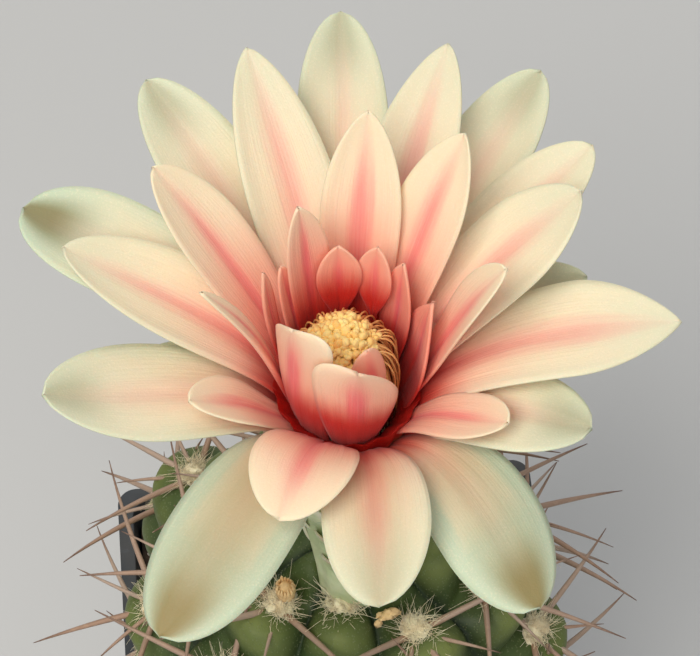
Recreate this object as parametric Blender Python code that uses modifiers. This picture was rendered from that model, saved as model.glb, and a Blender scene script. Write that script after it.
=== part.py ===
"""A chin cactus in flower, built together with its square plastic pot.

Sizes are metres. +Z is up, the front is -Y, and the origin is the centre of the pot's
underside. Compass angles run clockwise from the rear (+Y), seen from above.
"""
import random
from dataclasses import dataclass
from math import atan2, cos, degrees, pi, radians, sin, tau

import bmesh
import bpy
from mathutils import Matrix, Vector

MM = 0.001
GAP = 0.3 * MM                    # clear space between pieces that touch on the real plant
MERGE = 0.01 * MM

# Pot
POT_WIDTH = 55.0 * MM             # across the rim
POT_BASE = 41.0 * MM              # across the underside
POT_HEIGHT = 50.0 * MM
POT_WALL = 1.1 * MM
POT_FLOOR = 1.5 * MM
POT_CORNER = 1.8 * MM
CORNER_SEGMENTS = 3
COLLAR_HEIGHT = 7.0 * MM
COLLAR_STEP = 0.9 * MM            # how far the collar stands out from the wall
DRAIN_RADIUS = 2.5 * MM
DRAIN_PLACE = 12.0 * MM           # each way from the centre
DRAIN_SEGMENTS = 16

# Soil
SOIL_TOP = 46.0 * MM
SOIL_RELIEF = 0.8 * MM
SOIL_CELLS = 14
SOIL_HOLLOW_SEGMENTS = 36
SOIL_HOLLOW_RINGS = 10

# Stem
STEM_CENTRE = Vector((1.0, 0.0, 62.0)) * MM
STEM_RADIUS = 26.0 * MM
STEM_HALF_HEIGHT = 22.5 * MM
RIBS = 9
FIRST_RIB = 190.0                 # compass angle of the front rib
STEM_SEGMENTS = 6 * RIBS
STEM_RINGS = 18
GROOVE_DEPTH = 4.2 * MM
TUBERCLE_RISE = 2.0 * MM
TUBERCLE_SHIFT = 0.32             # of a step, from an areole down to the chin below it
CROWN_DIP = 1.5 * MM
AREOLE_STEP = 26.0                # polar angle from one areole to the next down a rib
LAST_AREOLE = 98.0
RIB_FADE_START = 104.0            # polar angles between which the ribs fade into the root
RIB_FADE_END = 126.0
# Polar angle of the highest areole on each rib, from the front rib on clockwise
FIRST_AREOLES = (21.0, 28.0, 45.0, 33.0, 33.0, 24.0, 36.0, 42.0, 33.0)
SWOLLEN_RIB = 3                   # the rib that bulges over the pot's rear left corner
SWELL = 2.6 * MM

# Areoles and spines
PAD_RADIUS = 1.7 * MM
PAD_HALF_HEIGHT = 1.45 * MM       # most of it is sunk in the stem
SPINE_BASE = 0.55 * MM
SPINE_TIP = 0.16 * MM
SPINE_SPREAD = 0.6 * MM           # from the middle of the areole to the foot of a spine
SPINE_SUNK = 0.6 * MM
SPINE_LIFT = 30.0                 # degrees above the surface
SPINE_CURVE = 0.12                # sideways bend as a share of the length
SPINE_FLOOR = 52.5 * MM           # no spine reaches lower, so all clear the pot's rim
SPINE_STRETCHES = 2
SPINE_SEED = 11
# Angle round the areole from straight down the rib, and length
SPINE_FAN = ((6.0, 16.5 * MM), (84.0, 18.5 * MM), (-82.0, 17.5 * MM), (166.0, 13.0 * MM))
SPINE_TUBE_CLEARANCE = 4.0 * MM
SPINE_SWING = 9.0                 # degrees each way
SPINE_NOD = 8.0                   # degrees each way
SPINE_LONGER = 2.0 * MM           # each way

# Felted bud on one of the front areoles
BUD_RIB = 1
BUD_RADIUS = 1.35 * MM
BUD_HEIGHT = 3.6 * MM
BUD_SUNK = 1.0 * MM
BUD_SCALES = 5

# Flower: the mouth of the throat, and the foot of its tube in the crown of the stem
MOUTH = Vector((0.9, 0.7, 118.0)) * MM
TUBE_FOOT = Vector((1.0, -5.0, 80.5)) * MM
TUBE_FOOT_RADIUS = 4.0 * MM
SOCKET_HEIGHT = 12.0 * MM         # of the cut that clears the tube's foot
TUBE_TOP = -9.0 * MM              # heights of flower pieces are taken from the mouth
TUBE_BEND = -31.5 * MM            # the tube is straight below this height
TUBE_SEGMENTS = 20
TUBE_PROFILE = ((-35.0, 4.0), (-31.0, 4.3), (-25.0, 5.2), (-18.0, 6.0), (-12.5, 6.9), (-9.0, 7.9))
# Outside of the throat collar that carries the tepals, and its inside from the top down
COLLAR_OUTSIDE = ((-13.0, 4.6), (-9.0, 6.6), (-5.0, 7.4), (-2.0, 8.0))
COLLAR_INSIDE = ((-5.0, 6.0), (-9.0, 4.6), (-11.0, 3.6))
COLLAR_SEGMENTS = 24
BLADE_THICKNESS = 0.7 * MM
TIP_CROWDING = 1.25               # above 1, rows of a blade crowd towards its tip

# Stamens and style
STAMEN_SEGMENTS = 12
STAMEN_CORE = ((-10.7, 2.4), (-4.0, 2.6), (2.6, 3.5), (5.2, 3.4), (7.0, 2.3))
STYLE_RADIUS = 0.9 * MM
STYLE_SEGMENTS = 10
STYLE_TOP = 5.2 * MM
STIGMA_LOBES = 6
STIGMA_REACH = 0.8 * MM
STIGMA_RISE = 1.5 * MM
LOBE_BASE = 0.45 * MM
LOBE_TIP = 0.32 * MM
ANTHER_RADIUS = 0.7 * MM
# Height, distance from the axis, and how many anthers stand in the row
ANTHER_ROWS = ((7.2, 2.1, 8), (6.3, 3.1, 12), (4.8, 3.7, 14))
ANTHER_SEED = 5
ANTHER_SWING = 0.15               # of the spacing in a row, each way
ANTHER_LIFT = 0.3                 # millimetres, each way
ANTHER_TURN = 40.0                # degrees a row is turned for each millimetre of height


@dataclass(frozen=True)
class Whorl:
    """A ring of blades: where they start, how they leave it, and how they end."""
    base_radius: float
    base_height: float
    base_arch: float
    base_lean: float
    tip_arch: float
    tip_lean: float
    rows: int
    columns: int


@dataclass(frozen=True)
class Blade:
    """A tepal or a scale, in millimetres and degrees. Leans are taken from the vertical.

    The neck is the width at the base as a share of the widest, the claw is how far up the
    blade stays as narrow, and the skew lowers one shoulder and lifts the other.
    """
    whorl: Whorl
    azimuth: float
    reach: float
    rise: float
    width: float
    point: float = 0.3
    cup: float = 0.5
    widest: float = 0.66
    base_lean: float = None
    tip_lean: float = None
    sway: float = 0.0
    neck: float = 0.42
    claw: float = 0.0
    skew: float = 0.0


OUTER = Whorl(6.5, -7.9, 13.0, 14.0, 14.0, 78.0, 7, 3)
SECOND = Whorl(5.9, -7.6, 13.0, 12.0, 13.0, 66.0, 7, 3)
THIRD = Whorl(5.3, -7.4, 12.0, 10.0, 10.0, 50.0, 6, 3)
HEART = Whorl(4.8, -8.0, 8.0, 12.0, 5.0, 12.0, 5, 2)

# Whorl, compass angle, reach from the axis, rise above the mouth, width
TEPALS = (
    Blade(OUTER, 4, 40.0, 12.0, 10.6, point=0.2, tip_lean=70),
    Blade(OUTER, 329, 37.5, 12.0, 11.0, tip_lean=70),
    Blade(OUTER, 38, 39.5, 10.0, 10.5, tip_lean=70),
    Blade(OUTER, 299, 38.3, 8.5, 12.5, point=0.0, cup=0.4, widest=0.75, tip_lean=80),
    Blade(OUTER, 260, 32.5, 9.0, 12.5, point=0.1, cup=0.3, base_lean=24, tip_lean=60),
    Blade(OUTER, 268, 26.0, 2.5, 10.0, cup=0.2, base_lean=42, tip_lean=85),
    Blade(OUTER, 218, 35.3, -4.0, 13.2, point=0.0, cup=-0.3, widest=0.7, tip_lean=105),
    Blade(OUTER, 141, 33.0, -4.0, 12.5, point=0.0, cup=-0.3, widest=0.72, base_lean=34,
          tip_lean=105, sway=7),
    Blade(OUTER, 115, 27.2, 3.5, 10.5, point=0.0, cup=0.2, widest=0.75, base_lean=44, tip_lean=85),
    Blade(OUTER, 74, 27.8, 3.5, 10.5, cup=0.3, base_lean=36, tip_lean=85),
    Blade(SECOND, 346, 33.5, 16.0, 10.5, point=0.6, widest=0.58, tip_lean=62),
    Blade(SECOND, 24, 34.0, 16.0, 10.0, point=0.6, widest=0.6, tip_lean=62),
    Blade(SECOND, 57, 33.5, 13.0, 9.5, widest=0.7, tip_lean=62),
    Blade(SECOND, 290, 31.0, 12.0, 11.0, widest=0.62, base_lean=20, tip_lean=62),
    Blade(SECOND, 93, 35.2, 8.0, 12.0, point=0.9, cup=0.3, widest=0.7, base_lean=24, tip_lean=85),
    Blade(SECOND, 174, 30.0, 1.0, 11.4, cup=0.1, widest=0.7, base_lean=28, tip_lean=100, sway=4.5),
    Blade(SECOND, 69, 27.3, 16.5, 10.5, cup=0.3, widest=0.72, base_lean=24, tip_lean=55),
    Blade(THIRD, 12, 18.5, 22.0, 9.0, point=0.6, widest=0.62, tip_lean=30),
    Blade(THIRD, 43, 20.0, 21.5, 8.5, point=0.6, base_lean=16, tip_lean=35),
    Blade(THIRD, 309, 24.5, 18.5, 8.8, point=0.4, base_lean=24, tip_lean=45),
    Blade(THIRD, 92, 16.3, 18.4, 6.2, widest=0.7, base_lean=26, tip_lean=30),
    Blade(THIRD, 247, 18.5, 8.2, 7.2, point=0.2, cup=0.4, widest=0.7, base_lean=36, tip_lean=50),
    Blade(THIRD, 269, 15.0, 17.8, 2.6, cup=0.5, base_lean=16, tip_lean=35),
    Blade(THIRD, 126, 19.5, 6.0, 6.7, point=0.0, cup=0.3, widest=0.75, base_lean=34, tip_lean=55),
    Blade(THIRD, 203, 22.5, 6.0, 11.0, point=0.1, cup=0.2, base_lean=28, tip_lean=90),
    Blade(HEART, 331, 9.0, 20.0, 5.6, point=0.8, cup=0.6, widest=0.62, neck=0.3, tip_lean=10),
    Blade(HEART, 357, 6.8, 14.0, 5.2, point=0.7, cup=0.6, widest=0.74, neck=0.14, claw=0.38,
          tip_lean=5),
    Blade(HEART, 31, 7.3, 14.0, 4.4, point=0.7, cup=0.6, widest=0.72, neck=0.12, claw=0.42, tip_lean=5),
    Blade(HEART, 53, 8.0, 12.7, 4.6, point=0.8, cup=0.6, widest=0.55, neck=0.3, base_lean=20,
          tip_lean=2),
    Blade(HEART, 84, 7.9, 11.5, 6.4, point=0.9, cup=0.6, widest=0.55, base_lean=26, tip_lean=0),
    Blade(HEART, 297, 9.4, 13.8, 2.4, point=0.8, cup=0.6, base_lean=28, tip_lean=0),
    Blade(HEART, 311, 8.6, 12.6, 3.2, point=0.4, cup=0.6, tip_lean=8),
    Blade(HEART, 236, 7.0, 15.2, 9.6, point=0.1, cup=0.5, widest=0.74, neck=0.25, base_lean=20,
          tip_lean=0, skew=2.2),
    Blade(HEART, 178, 8.4, 12.9, 9.5, point=0.5, cup=0.6, widest=0.74, neck=0.15, claw=0.12,
          base_lean=28, tip_lean=10, skew=-3.4),
    Blade(HEART, 155, 4.1, 9.9, 4.5, point=0.2, cup=0.6, tip_lean=-10),
)

# Rows of scales up the tube: height, how many, first compass angle, length, width and lean
SCALE_ROWS = (
    (-29.5, 4, 20.0, 5.0, 5.4, 26.0),
    (-25.5, 5, 200.0, 6.5, 6.2, 27.0),
    (-21.0, 5, 235.0, 7.5, 6.8, 28.0),
    (-16.5, 6, 190.0, 8.5, 7.2, 30.0),
)
SCALE_SUNK = 0.4                  # millimetres from the tube's surface to a scale's base
SCALE_BOW = 14.0                  # degrees a scale turns outward from its base to its tip


def compass(angle):
    """The level direction at a compass angle in degrees."""
    return Vector((sin(radians(angle)), cos(radians(angle)), 0.0))


def smooth_step(value, start, end):
    """0 before start, 1 after end, and an even ramp between."""
    share = min(1.0, max(0.0, (value - start) / (end - start)))
    return share * share * (3.0 - 2.0 * share)


def make_material(name, colour, roughness, subsurface=0.0):
    """A Principled material in one colour."""
    material = bpy.data.materials.new(name)
    material.use_nodes = True
    shader = material.node_tree.nodes["Principled BSDF"]
    shader.inputs["Base Color"].default_value = (*colour, 1.0)
    shader.inputs["Roughness"].default_value = roughness
    shader.inputs["Metallic"].default_value = 0.0
    shader.inputs["Subsurface Weight"].default_value = subsurface
    material.diffuse_color = (*colour, 1.0)
    return material


def add_object(name, mesh, collection):
    """An object for a mesh, linked to a collection."""
    thing = bpy.data.objects.new(name, mesh)
    collection.objects.link(thing)
    return thing


def dress(thing, material):
    """Gives a finished object its one material."""
    thing.data.materials.clear()
    thing.data.materials.append(material)
    return thing


def from_bmesh(name, shape, collection, triangles=True):
    """An object for a bmesh, which is used up."""
    if triangles:
        bmesh.ops.triangulate(shape, faces=shape.faces)
    mesh = bpy.data.meshes.new(name)
    shape.to_mesh(mesh)
    shape.free()
    return add_object(name, mesh, collection)


def baked(thing, triangles=True):
    """Replaces an object's mesh by its evaluated one, with no modifier left."""
    graph = bpy.context.evaluated_depsgraph_get()
    mesh = bpy.data.meshes.new_from_object(thing.evaluated_get(graph))
    thing.modifiers.clear()
    if triangles:
        shape = bmesh.new()
        shape.from_mesh(mesh)
        bmesh.ops.triangulate(shape, faces=shape.faces)
        shape.to_mesh(mesh)
        shape.free()
    thing.data = mesh
    return thing


def discard(things):
    """Removes helper objects."""
    for thing in list(things):
        bpy.data.objects.remove(thing, do_unlink=True)


def as_cutter(thing):
    """Marks an object as a cutter."""
    thing.hide_render = True
    thing.display_type = "WIRE"
    return thing


def boolean(thing, operation, other=None, collection=None, triangles=True):
    """Cuts or joins an object with another one, or with all of a collection."""
    modifier = thing.modifiers.new(operation.title(), "BOOLEAN")
    modifier.operation = operation
    modifier.solver = "EXACT"
    if collection:
        modifier.operand_type = "COLLECTION"
        modifier.collection = collection
    else:
        modifier.object = other
    return baked(thing, triangles)


def keep_main_body(thing):
    """Drops loose scraps and sealed hollows, so that one body is left."""
    shape = bmesh.new()
    shape.from_mesh(thing.data)
    waiting = set(shape.verts)
    bodies = []
    while waiting:
        body = set()
        edge = [waiting.pop()]
        while edge:
            vertex = edge.pop()
            body.add(vertex)
            for link in vertex.link_edges:
                other = link.other_vert(vertex)
                if other in waiting:
                    waiting.remove(other)
                    edge.append(other)
        bodies.append(body)
    bodies.sort(key=len)
    for body in bodies[:-1]:
        bmesh.ops.delete(shape, geom=list(body), context="VERTS")
    shape.to_mesh(thing.data)
    shape.free()


def tapered_box(name, width_low, width_high, low, high, corner, collection):
    """A square block with rounded upright edges, wider at one end."""
    shape = bmesh.new()
    bmesh.ops.create_cube(shape, size=1.0)
    for vertex in shape.verts:
        top = vertex.co.z > 0.0
        width = width_high if top else width_low
        vertex.co = Vector((vertex.co.x * width, vertex.co.y * width, high if top else low))
    upright = [edge for edge in shape.edges if abs(edge.verts[0].co.z - edge.verts[1].co.z) > MERGE]
    bmesh.ops.bevel(shape, geom=upright, offset=corner, segments=CORNER_SEGMENTS, profile=0.5,
                    affect="EDGES")
    return from_bmesh(name, shape, collection, triangles=False)


def cylinder(name, radius, low, high, place, collection, segments):
    """An upright closed cylinder."""
    shape = bmesh.new()
    bmesh.ops.create_cone(shape, cap_ends=True, segments=segments, radius1=radius, radius2=radius,
                          depth=high - low)
    middle = Vector((place.x, place.y, (low + high) / 2.0))
    bmesh.ops.translate(shape, verts=shape.verts, vec=middle)
    return from_bmesh(name, shape, collection, triangles=False)


def turned(name, profile, segments, collection):
    """A closed solid turned round Z from (radius, height) points that start and end on the axis."""
    mesh = bpy.data.meshes.new(name)
    points = [(radius, 0.0, height) for radius, height in profile]
    mesh.from_pydata(points, [(i, i + 1) for i in range(len(points) - 1)], [])
    thing = add_object(name, mesh, collection)
    screw = thing.modifiers.new("Screw", "SCREW")
    screw.steps = segments
    screw.render_steps = segments
    screw.use_merge_vertices = True
    screw.merge_threshold = MERGE
    return baked(thing)


def shift_mesh(thing, offset):
    """Moves an object's mesh by an offset, given plainly or as a function of the height."""
    for vertex in thing.data.vertices:
        vertex.co += offset(vertex.co.z) if callable(offset) else offset
    return thing


def build_pot(collection, cutters, material):
    """Square pot: wall, collar, floor and four drain holes."""
    slope = (POT_WIDTH - 2.0 * COLLAR_STEP - POT_BASE) / POT_HEIGHT
    wall_top = POT_WIDTH - 2.0 * COLLAR_STEP
    pot = tapered_box("pot", POT_BASE, wall_top, 0.0, POT_HEIGHT, POT_CORNER, collection)
    collar_low = POT_HEIGHT - COLLAR_HEIGHT
    collar = tapered_box("collar", POT_WIDTH - COLLAR_STEP, POT_WIDTH, collar_low, POT_HEIGHT,
                         POT_CORNER + COLLAR_STEP, cutters)
    boolean(pot, "UNION", collar, triangles=False)
    reach = 1.0 * MM
    hollow_low = POT_BASE + slope * POT_FLOOR - 2.0 * POT_WALL
    hollow_high = wall_top + slope * reach - 2.0 * POT_WALL
    hollow = tapered_box("hollow", hollow_low, hollow_high, POT_FLOOR, POT_HEIGHT + reach,
                         POT_CORNER - POT_WALL, cutters)
    boolean(pot, "DIFFERENCE", as_cutter(hollow), triangles=False)
    for side in (-1, 1):
        for end in (-1, 1):
            place = Vector((side * DRAIN_PLACE, end * DRAIN_PLACE, 0.0))
            drain = cylinder("drain", DRAIN_RADIUS, -reach, POT_FLOOR + reach, place, cutters,
                             DRAIN_SEGMENTS)
            boolean(pot, "DIFFERENCE", as_cutter(drain), triangles=False)
    discard(cutters.objects)
    return dress(pot, material)


def soil_height(x, y):
    """Height of the gritty soil surface."""
    coarse = sin(x / (2.1 * MM) + 1.3) * cos(y / (1.7 * MM))
    fine = sin(x / (0.9 * MM) + y / (1.3 * MM) + 0.7)
    return SOIL_TOP + SOIL_RELIEF * (0.6 * coarse + 0.4 * fine)


def build_soil(collection, cutters, material):
    """Potting mix that fills the pot, with a plain hollow for the stem."""
    slope = (POT_WIDTH - 2.0 * COLLAR_STEP - POT_BASE) / POT_HEIGHT
    low = POT_FLOOR + GAP
    high = SOIL_TOP + 2.0 * SOIL_RELIEF
    inset = 2.0 * (POT_WALL + GAP)
    width_low = POT_BASE + slope * low - inset
    width_high = POT_BASE + slope * high - inset
    soil = tapered_box("soil", width_low, width_high, low, high, POT_CORNER - POT_WALL, collection)
    shape = bmesh.new()
    bmesh.ops.create_grid(shape, x_segments=SOIL_CELLS, y_segments=SOIL_CELLS, size=POT_WIDTH / 2.0)
    for vertex in shape.verts:
        vertex.co.z = soil_height(vertex.co.x, vertex.co.y)
    bmesh.ops.triangulate(shape, faces=shape.faces)
    lifted = bmesh.ops.extrude_face_region(shape, geom=shape.faces[:])
    for vertex in lifted["geom"]:
        if isinstance(vertex, bmesh.types.BMVert):
            vertex.co.z = POT_HEIGHT + SOIL_RELIEF
    bmesh.ops.recalc_face_normals(shape, faces=shape.faces)
    air = as_cutter(from_bmesh("air", shape, cutters))
    boolean(soil, "DIFFERENCE", air)
    profile = []
    for i in range(SOIL_HOLLOW_RINGS + 1):
        polar = pi / 2.0 * (1.0 + i / SOIL_HOLLOW_RINGS)
        profile.append(((STEM_RADIUS + GAP) * sin(polar), (STEM_HALF_HEIGHT + GAP) * cos(polar)))
    profile[-1] = (0.0, profile[-1][1])
    hollow = turned("hollow", [(0.0, 0.0)] + profile, SOIL_HOLLOW_SEGMENTS, cutters)
    shift_mesh(hollow, STEM_CENTRE)
    boolean(soil, "DIFFERENCE", as_cutter(hollow))
    discard(cutters.objects)
    return dress(soil, material)


def areole_angles(rib):
    """Polar angles of the areoles down a rib."""
    angles = []
    polar = FIRST_AREOLES[rib]
    while polar <= LAST_AREOLE:
        angles.append(polar)
        polar += AREOLE_STEP
    return angles


def stem_point(azimuth, polar):
    """A point of the ribbed stem at a compass angle and a polar angle, in degrees."""
    turn = (azimuth - FIRST_RIB) / 360.0 * RIBS
    rib = round(turn) % RIBS
    across = turn - round(turn)
    ridge = cos(pi * across) ** 0.6 if abs(across) < 0.499 else 0.0
    around = max(0.0, sin(radians(polar)))
    fade = 1.0 - smooth_step(polar, RIB_FADE_START, RIB_FADE_END)
    groove = -GROOVE_DEPTH * (1.0 - ridge) * around ** 0.7 * fade
    phase = (polar - FIRST_AREOLES[rib]) / AREOLE_STEP
    bulge = cos(tau * (phase - TUBERCLE_SHIFT)) * smooth_step(polar, 6.0, 24.0)
    tubercle = TUBERCLE_RISE * bulge * ridge * fade
    swell = SWELL * ridge * around * fade if rib == SWOLLEN_RIB else 0.0
    dip = -CROWN_DIP * (1.0 - smooth_step(polar, 0.0, 16.0))
    rise = groove + tubercle + swell + dip
    level = (STEM_RADIUS + rise) * around
    height = (STEM_HALF_HEIGHT + rise) * cos(radians(polar))
    return STEM_CENTRE + compass(azimuth) * level + Vector((0.0, 0.0, height))


def stem_frame(azimuth, polar):
    """A point of the stem with its outward, downward and sideways directions."""
    step = 2.0
    down = (stem_point(azimuth, polar + step) - stem_point(azimuth, polar - step)).normalized()
    side = Vector((cos(radians(azimuth)), -sin(radians(azimuth)), 0.0))
    outward = side.cross(down).normalized()
    smooth_out = (stem_point(azimuth, polar) - STEM_CENTRE).normalized()
    if outward.dot(smooth_out) < 0.0:
        outward = -outward
    outward = (outward + smooth_out).normalized()
    down = (down - outward * down.dot(outward)).normalized()
    return stem_point(azimuth, polar), outward, down, side


def tube_centre(height):
    """The mouth, moved level to the middle of the floral tube at a height above the mouth."""
    share = min(1.0, max(0.0, height / TUBE_BEND))
    lean = (TUBE_FOOT - MOUTH) * share ** 1.5
    return MOUTH + Vector((lean.x, lean.y, 0.0))


def tube_radius(height):
    """Radius of the floral tube at a height above the mouth."""
    for (low, radius_low), (high, radius_high) in zip(TUBE_PROFILE, TUBE_PROFILE[1:]):
        if height <= high * MM:
            share = max(0.0, (height / MM - low) / (high - low))
            return (radius_low + (radius_high - radius_low) * share) * MM
    return TUBE_PROFILE[-1][1] * MM


def near_tube(point):
    """Whether a point lies in or close to the floral tube."""
    height = point.z - MOUTH.z
    away = point - tube_centre(height)
    away.z = 0.0
    return away.length < tube_radius(height) + SPINE_TUBE_CLEARANCE


def spine_points(foot, heading, inward, length, steps):
    """Points along a spine that bends slightly back to the body."""
    points = []
    for i in range(steps + 1):
        share = i / steps
        point = foot + heading * length * share + inward * length * SPINE_CURVE * share * share
        point.z = max(point.z, SPINE_FLOOR)
        points.append(point)
    return points


def tapered_rod(name, points, radius_start, radius_end, sides, collection):
    """A closed tapering rod along points, from a cone cut into as many stretches."""
    stretches = len(points) - 1
    shape = bmesh.new()
    bmesh.ops.create_cone(shape, cap_ends=True, segments=sides, radius1=radius_start, radius2=radius_end,
                          depth=float(stretches))
    bmesh.ops.translate(shape, verts=shape.verts, vec=(0.0, 0.0, stretches / 2.0))
    for i in range(1, stretches):
        bmesh.ops.bisect_plane(shape, geom=shape.verts[:] + shape.edges[:] + shape.faces[:],
                               plane_co=(0.0, 0.0, float(i)), plane_no=(0.0, 0.0, 1.0))
    for vertex in shape.verts:
        index = min(stretches, max(0, round(vertex.co.z)))
        before = points[max(0, index - 1)]
        after = points[min(stretches, index + 1)]
        turn = (after - before).to_track_quat("Z", "Y")
        vertex.co = points[index] + turn @ Vector((vertex.co.x, vertex.co.y, 0.0))
    return from_bmesh(name, shape, collection)


def areole_pad(foot, outward, radius, collection):
    """A low woolly pad, sunk into the stem."""
    shape = bmesh.new()
    bmesh.ops.create_uvsphere(shape, u_segments=5, v_segments=3, radius=1.0)
    turn = outward.to_track_quat("Z", "Y").to_matrix().to_4x4()
    size = Matrix.Diagonal((radius, radius, PAD_HALF_HEIGHT, 1.0))
    bmesh.ops.transform(shape, matrix=Matrix.Translation(foot) @ turn @ size, verts=shape.verts)
    return from_bmesh("pad", shape, collection)


def add_bud(foot, outward, collection):
    """A dry felted bud with an open scaly top."""
    heading = (outward + Vector((0.0, 0.0, 0.6))).normalized()
    heights = (-BUD_SUNK, 0.6 * BUD_HEIGHT, BUD_HEIGHT)
    points = [foot + heading * height for height in heights]
    tapered_rod("bud", points, BUD_RADIUS * 0.8, BUD_RADIUS, 8, collection)
    for i in range(BUD_SCALES):
        lean = compass(360.0 * i / BUD_SCALES + 17.0)
        start = points[1] + lean * BUD_RADIUS * 0.75
        end = points[2] + lean * BUD_RADIUS * 0.7 + heading * BUD_RADIUS * 0.67
        tapered_rod("bud_scale", [start, end], BUD_RADIUS * 0.4, BUD_RADIUS * 0.22, 4, collection)


def build_stem(collection, cutters, repeats, material):
    """Ribbed body with its areole pads, spines and bud, in one piece."""
    shape = bmesh.new()
    bmesh.ops.create_uvsphere(shape, u_segments=STEM_SEGMENTS, v_segments=STEM_RINGS, radius=1.0)
    for vertex in shape.verts:
        azimuth = degrees(atan2(vertex.co.x, vertex.co.y))
        polar = degrees(vertex.co.angle(Vector((0.0, 0.0, 1.0))))
        vertex.co = stem_point(azimuth, polar)
    stem = from_bmesh("stem", shape, collection)
    draw = random.Random(SPINE_SEED)
    for rib in range(RIBS):
        azimuth = FIRST_RIB + rib * 360.0 / RIBS
        for polar in areole_angles(rib):
            foot, outward, down, side = stem_frame(azimuth, polar)
            areole_pad(foot, outward, PAD_RADIUS, repeats)
            if rib == BUD_RIB and polar == FIRST_AREOLES[rib]:
                add_bud(foot, outward, repeats)
            for angle, length in SPINE_FAN:
                turn = radians(angle + draw.uniform(-SPINE_SWING, SPINE_SWING))
                lift = radians(SPINE_LIFT + draw.uniform(-SPINE_NOD, SPINE_NOD))
                length += draw.uniform(-SPINE_LONGER, SPINE_LONGER)
                level = down * cos(turn) + side * sin(turn)
                heading = level * cos(lift) + outward * sin(lift)
                start = foot + level * SPINE_SPREAD - outward * SPINE_SUNK
                points = spine_points(start, heading, -outward, length, SPINE_STRETCHES)
                if not any(near_tube(point) for point in points):
                    tapered_rod("spine", points, SPINE_BASE, SPINE_TIP, 3, repeats)
    boolean(stem, "UNION", collection=repeats)
    discard(repeats.objects)
    low = TUBE_FOOT.z - GAP
    radius = TUBE_FOOT_RADIUS + GAP
    socket = cylinder("socket", radius, low, low + SOCKET_HEIGHT, TUBE_FOOT, cutters, TUBE_SEGMENTS)
    boolean(stem, "DIFFERENCE", as_cutter(socket))
    discard(cutters.objects)
    return dress(stem, material)


def blade_half_width(blade, share):
    """Half the width of a blade at a share of its length, as a share of its widest."""
    if share < blade.widest:
        swell = max(0.0, share - blade.claw) / (blade.widest - blade.claw)
        return blade.neck + (1.0 - blade.neck) * sin(pi / 2.0 * swell) ** 1.3
    past = (share - blade.widest) / (1.0 - blade.widest)
    fall = max(0.0, 1.0 - past ** (2.2 - 0.4 * blade.point))
    return fall ** (1.0 / (2.0 - 0.9 * blade.point))


def blade_point(blade, axis, along, across):
    """A point of a blade, for along from 0 to 1 and across from -1 to 1, in metres.

    axis gives the middle of the flower at a height above its mouth.
    """
    whorl = blade.whorl
    base_lean = radians(whorl.base_lean if blade.base_lean is None else blade.base_lean)
    tip_lean = radians(whorl.tip_lean if blade.tip_lean is None else blade.tip_lean)
    base = Vector((whorl.base_radius, whorl.base_height))
    tip = Vector((blade.reach, blade.rise))
    leave = base + whorl.base_arch * Vector((sin(base_lean), cos(base_lean)))
    arrive = tip - whorl.tip_arch * Vector((sin(tip_lean), cos(tip_lean)))
    rest = 1.0 - along
    middle = (base * rest ** 3 + leave * 3.0 * along * rest ** 2
              + arrive * 3.0 * along ** 2 * rest + tip * along ** 3)
    slope = (leave - base) * rest ** 2 + (arrive - leave) * 2.0 * along * rest + (tip - arrive) * along ** 2
    slope.normalize()
    azimuth = blade.azimuth + blade.sway * along * along
    out = compass(azimuth)
    side = compass(azimuth + 90.0)
    up = Vector((0.0, 0.0, 1.0))
    face = up * slope.x - out * slope.y
    share = blade_half_width(blade, along)
    half = blade.width / 2.0 * share
    bend = blade.cup * across
    offset = side * half * sin(bend) / blade.cup + face * half * (1.0 - cos(bend)) / blade.cup
    offset -= (out * slope.x + up * slope.y) * blade.skew * across * share * along
    return axis(middle.y * MM) + (out * middle.x + up * middle.y + offset) * MM


def add_blade(name, blade, axis, collection):
    """A blade as an open sheet, split into triangles, with a wall of even thickness."""
    whorl = blade.whorl
    shape = bmesh.new()
    bmesh.ops.create_grid(shape, x_segments=whorl.columns, y_segments=whorl.rows, size=1.0)
    for vertex in shape.verts:
        along = (vertex.co.y + 1.0) / 2.0
        along = 1.0 - (1.0 - along) ** TIP_CROWDING
        vertex.co = blade_point(blade, axis, along, vertex.co.x)
    bmesh.ops.remove_doubles(shape, verts=shape.verts, dist=MERGE)
    bmesh.ops.triangulate(shape, faces=shape.faces)
    thing = from_bmesh(name, shape, collection)
    wall = thing.modifiers.new("Wall", "SOLIDIFY")
    wall.thickness = BLADE_THICKNESS
    wall.offset = 0.0
    return baked(thing)


def at_axis(profile):
    """A profile given in millimetres as (height, radius), as (radius, height) in metres."""
    return [(radius * MM, height * MM) for height, radius in profile]


def build_tepals(collection, repeats, material):
    """All tepals, grown together on the collar of the throat."""
    outside = at_axis(COLLAR_OUTSIDE)
    inside = at_axis(COLLAR_INSIDE)
    floor = inside[-1][1]
    profile = [(0.0, floor)] + inside[::-1] + outside[::-1] + [(0.0, outside[0][1])]
    tepals = turned("tepals", profile, COLLAR_SEGMENTS, collection)
    shift_mesh(tepals, MOUTH)
    for index, blade in enumerate(TEPALS):
        add_blade(f"tepal_{index}", blade, lambda height: MOUTH, repeats)
    boolean(tepals, "UNION", collection=repeats)
    discard(repeats.objects)
    keep_main_body(tepals)
    return dress(tepals, material)


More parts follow.
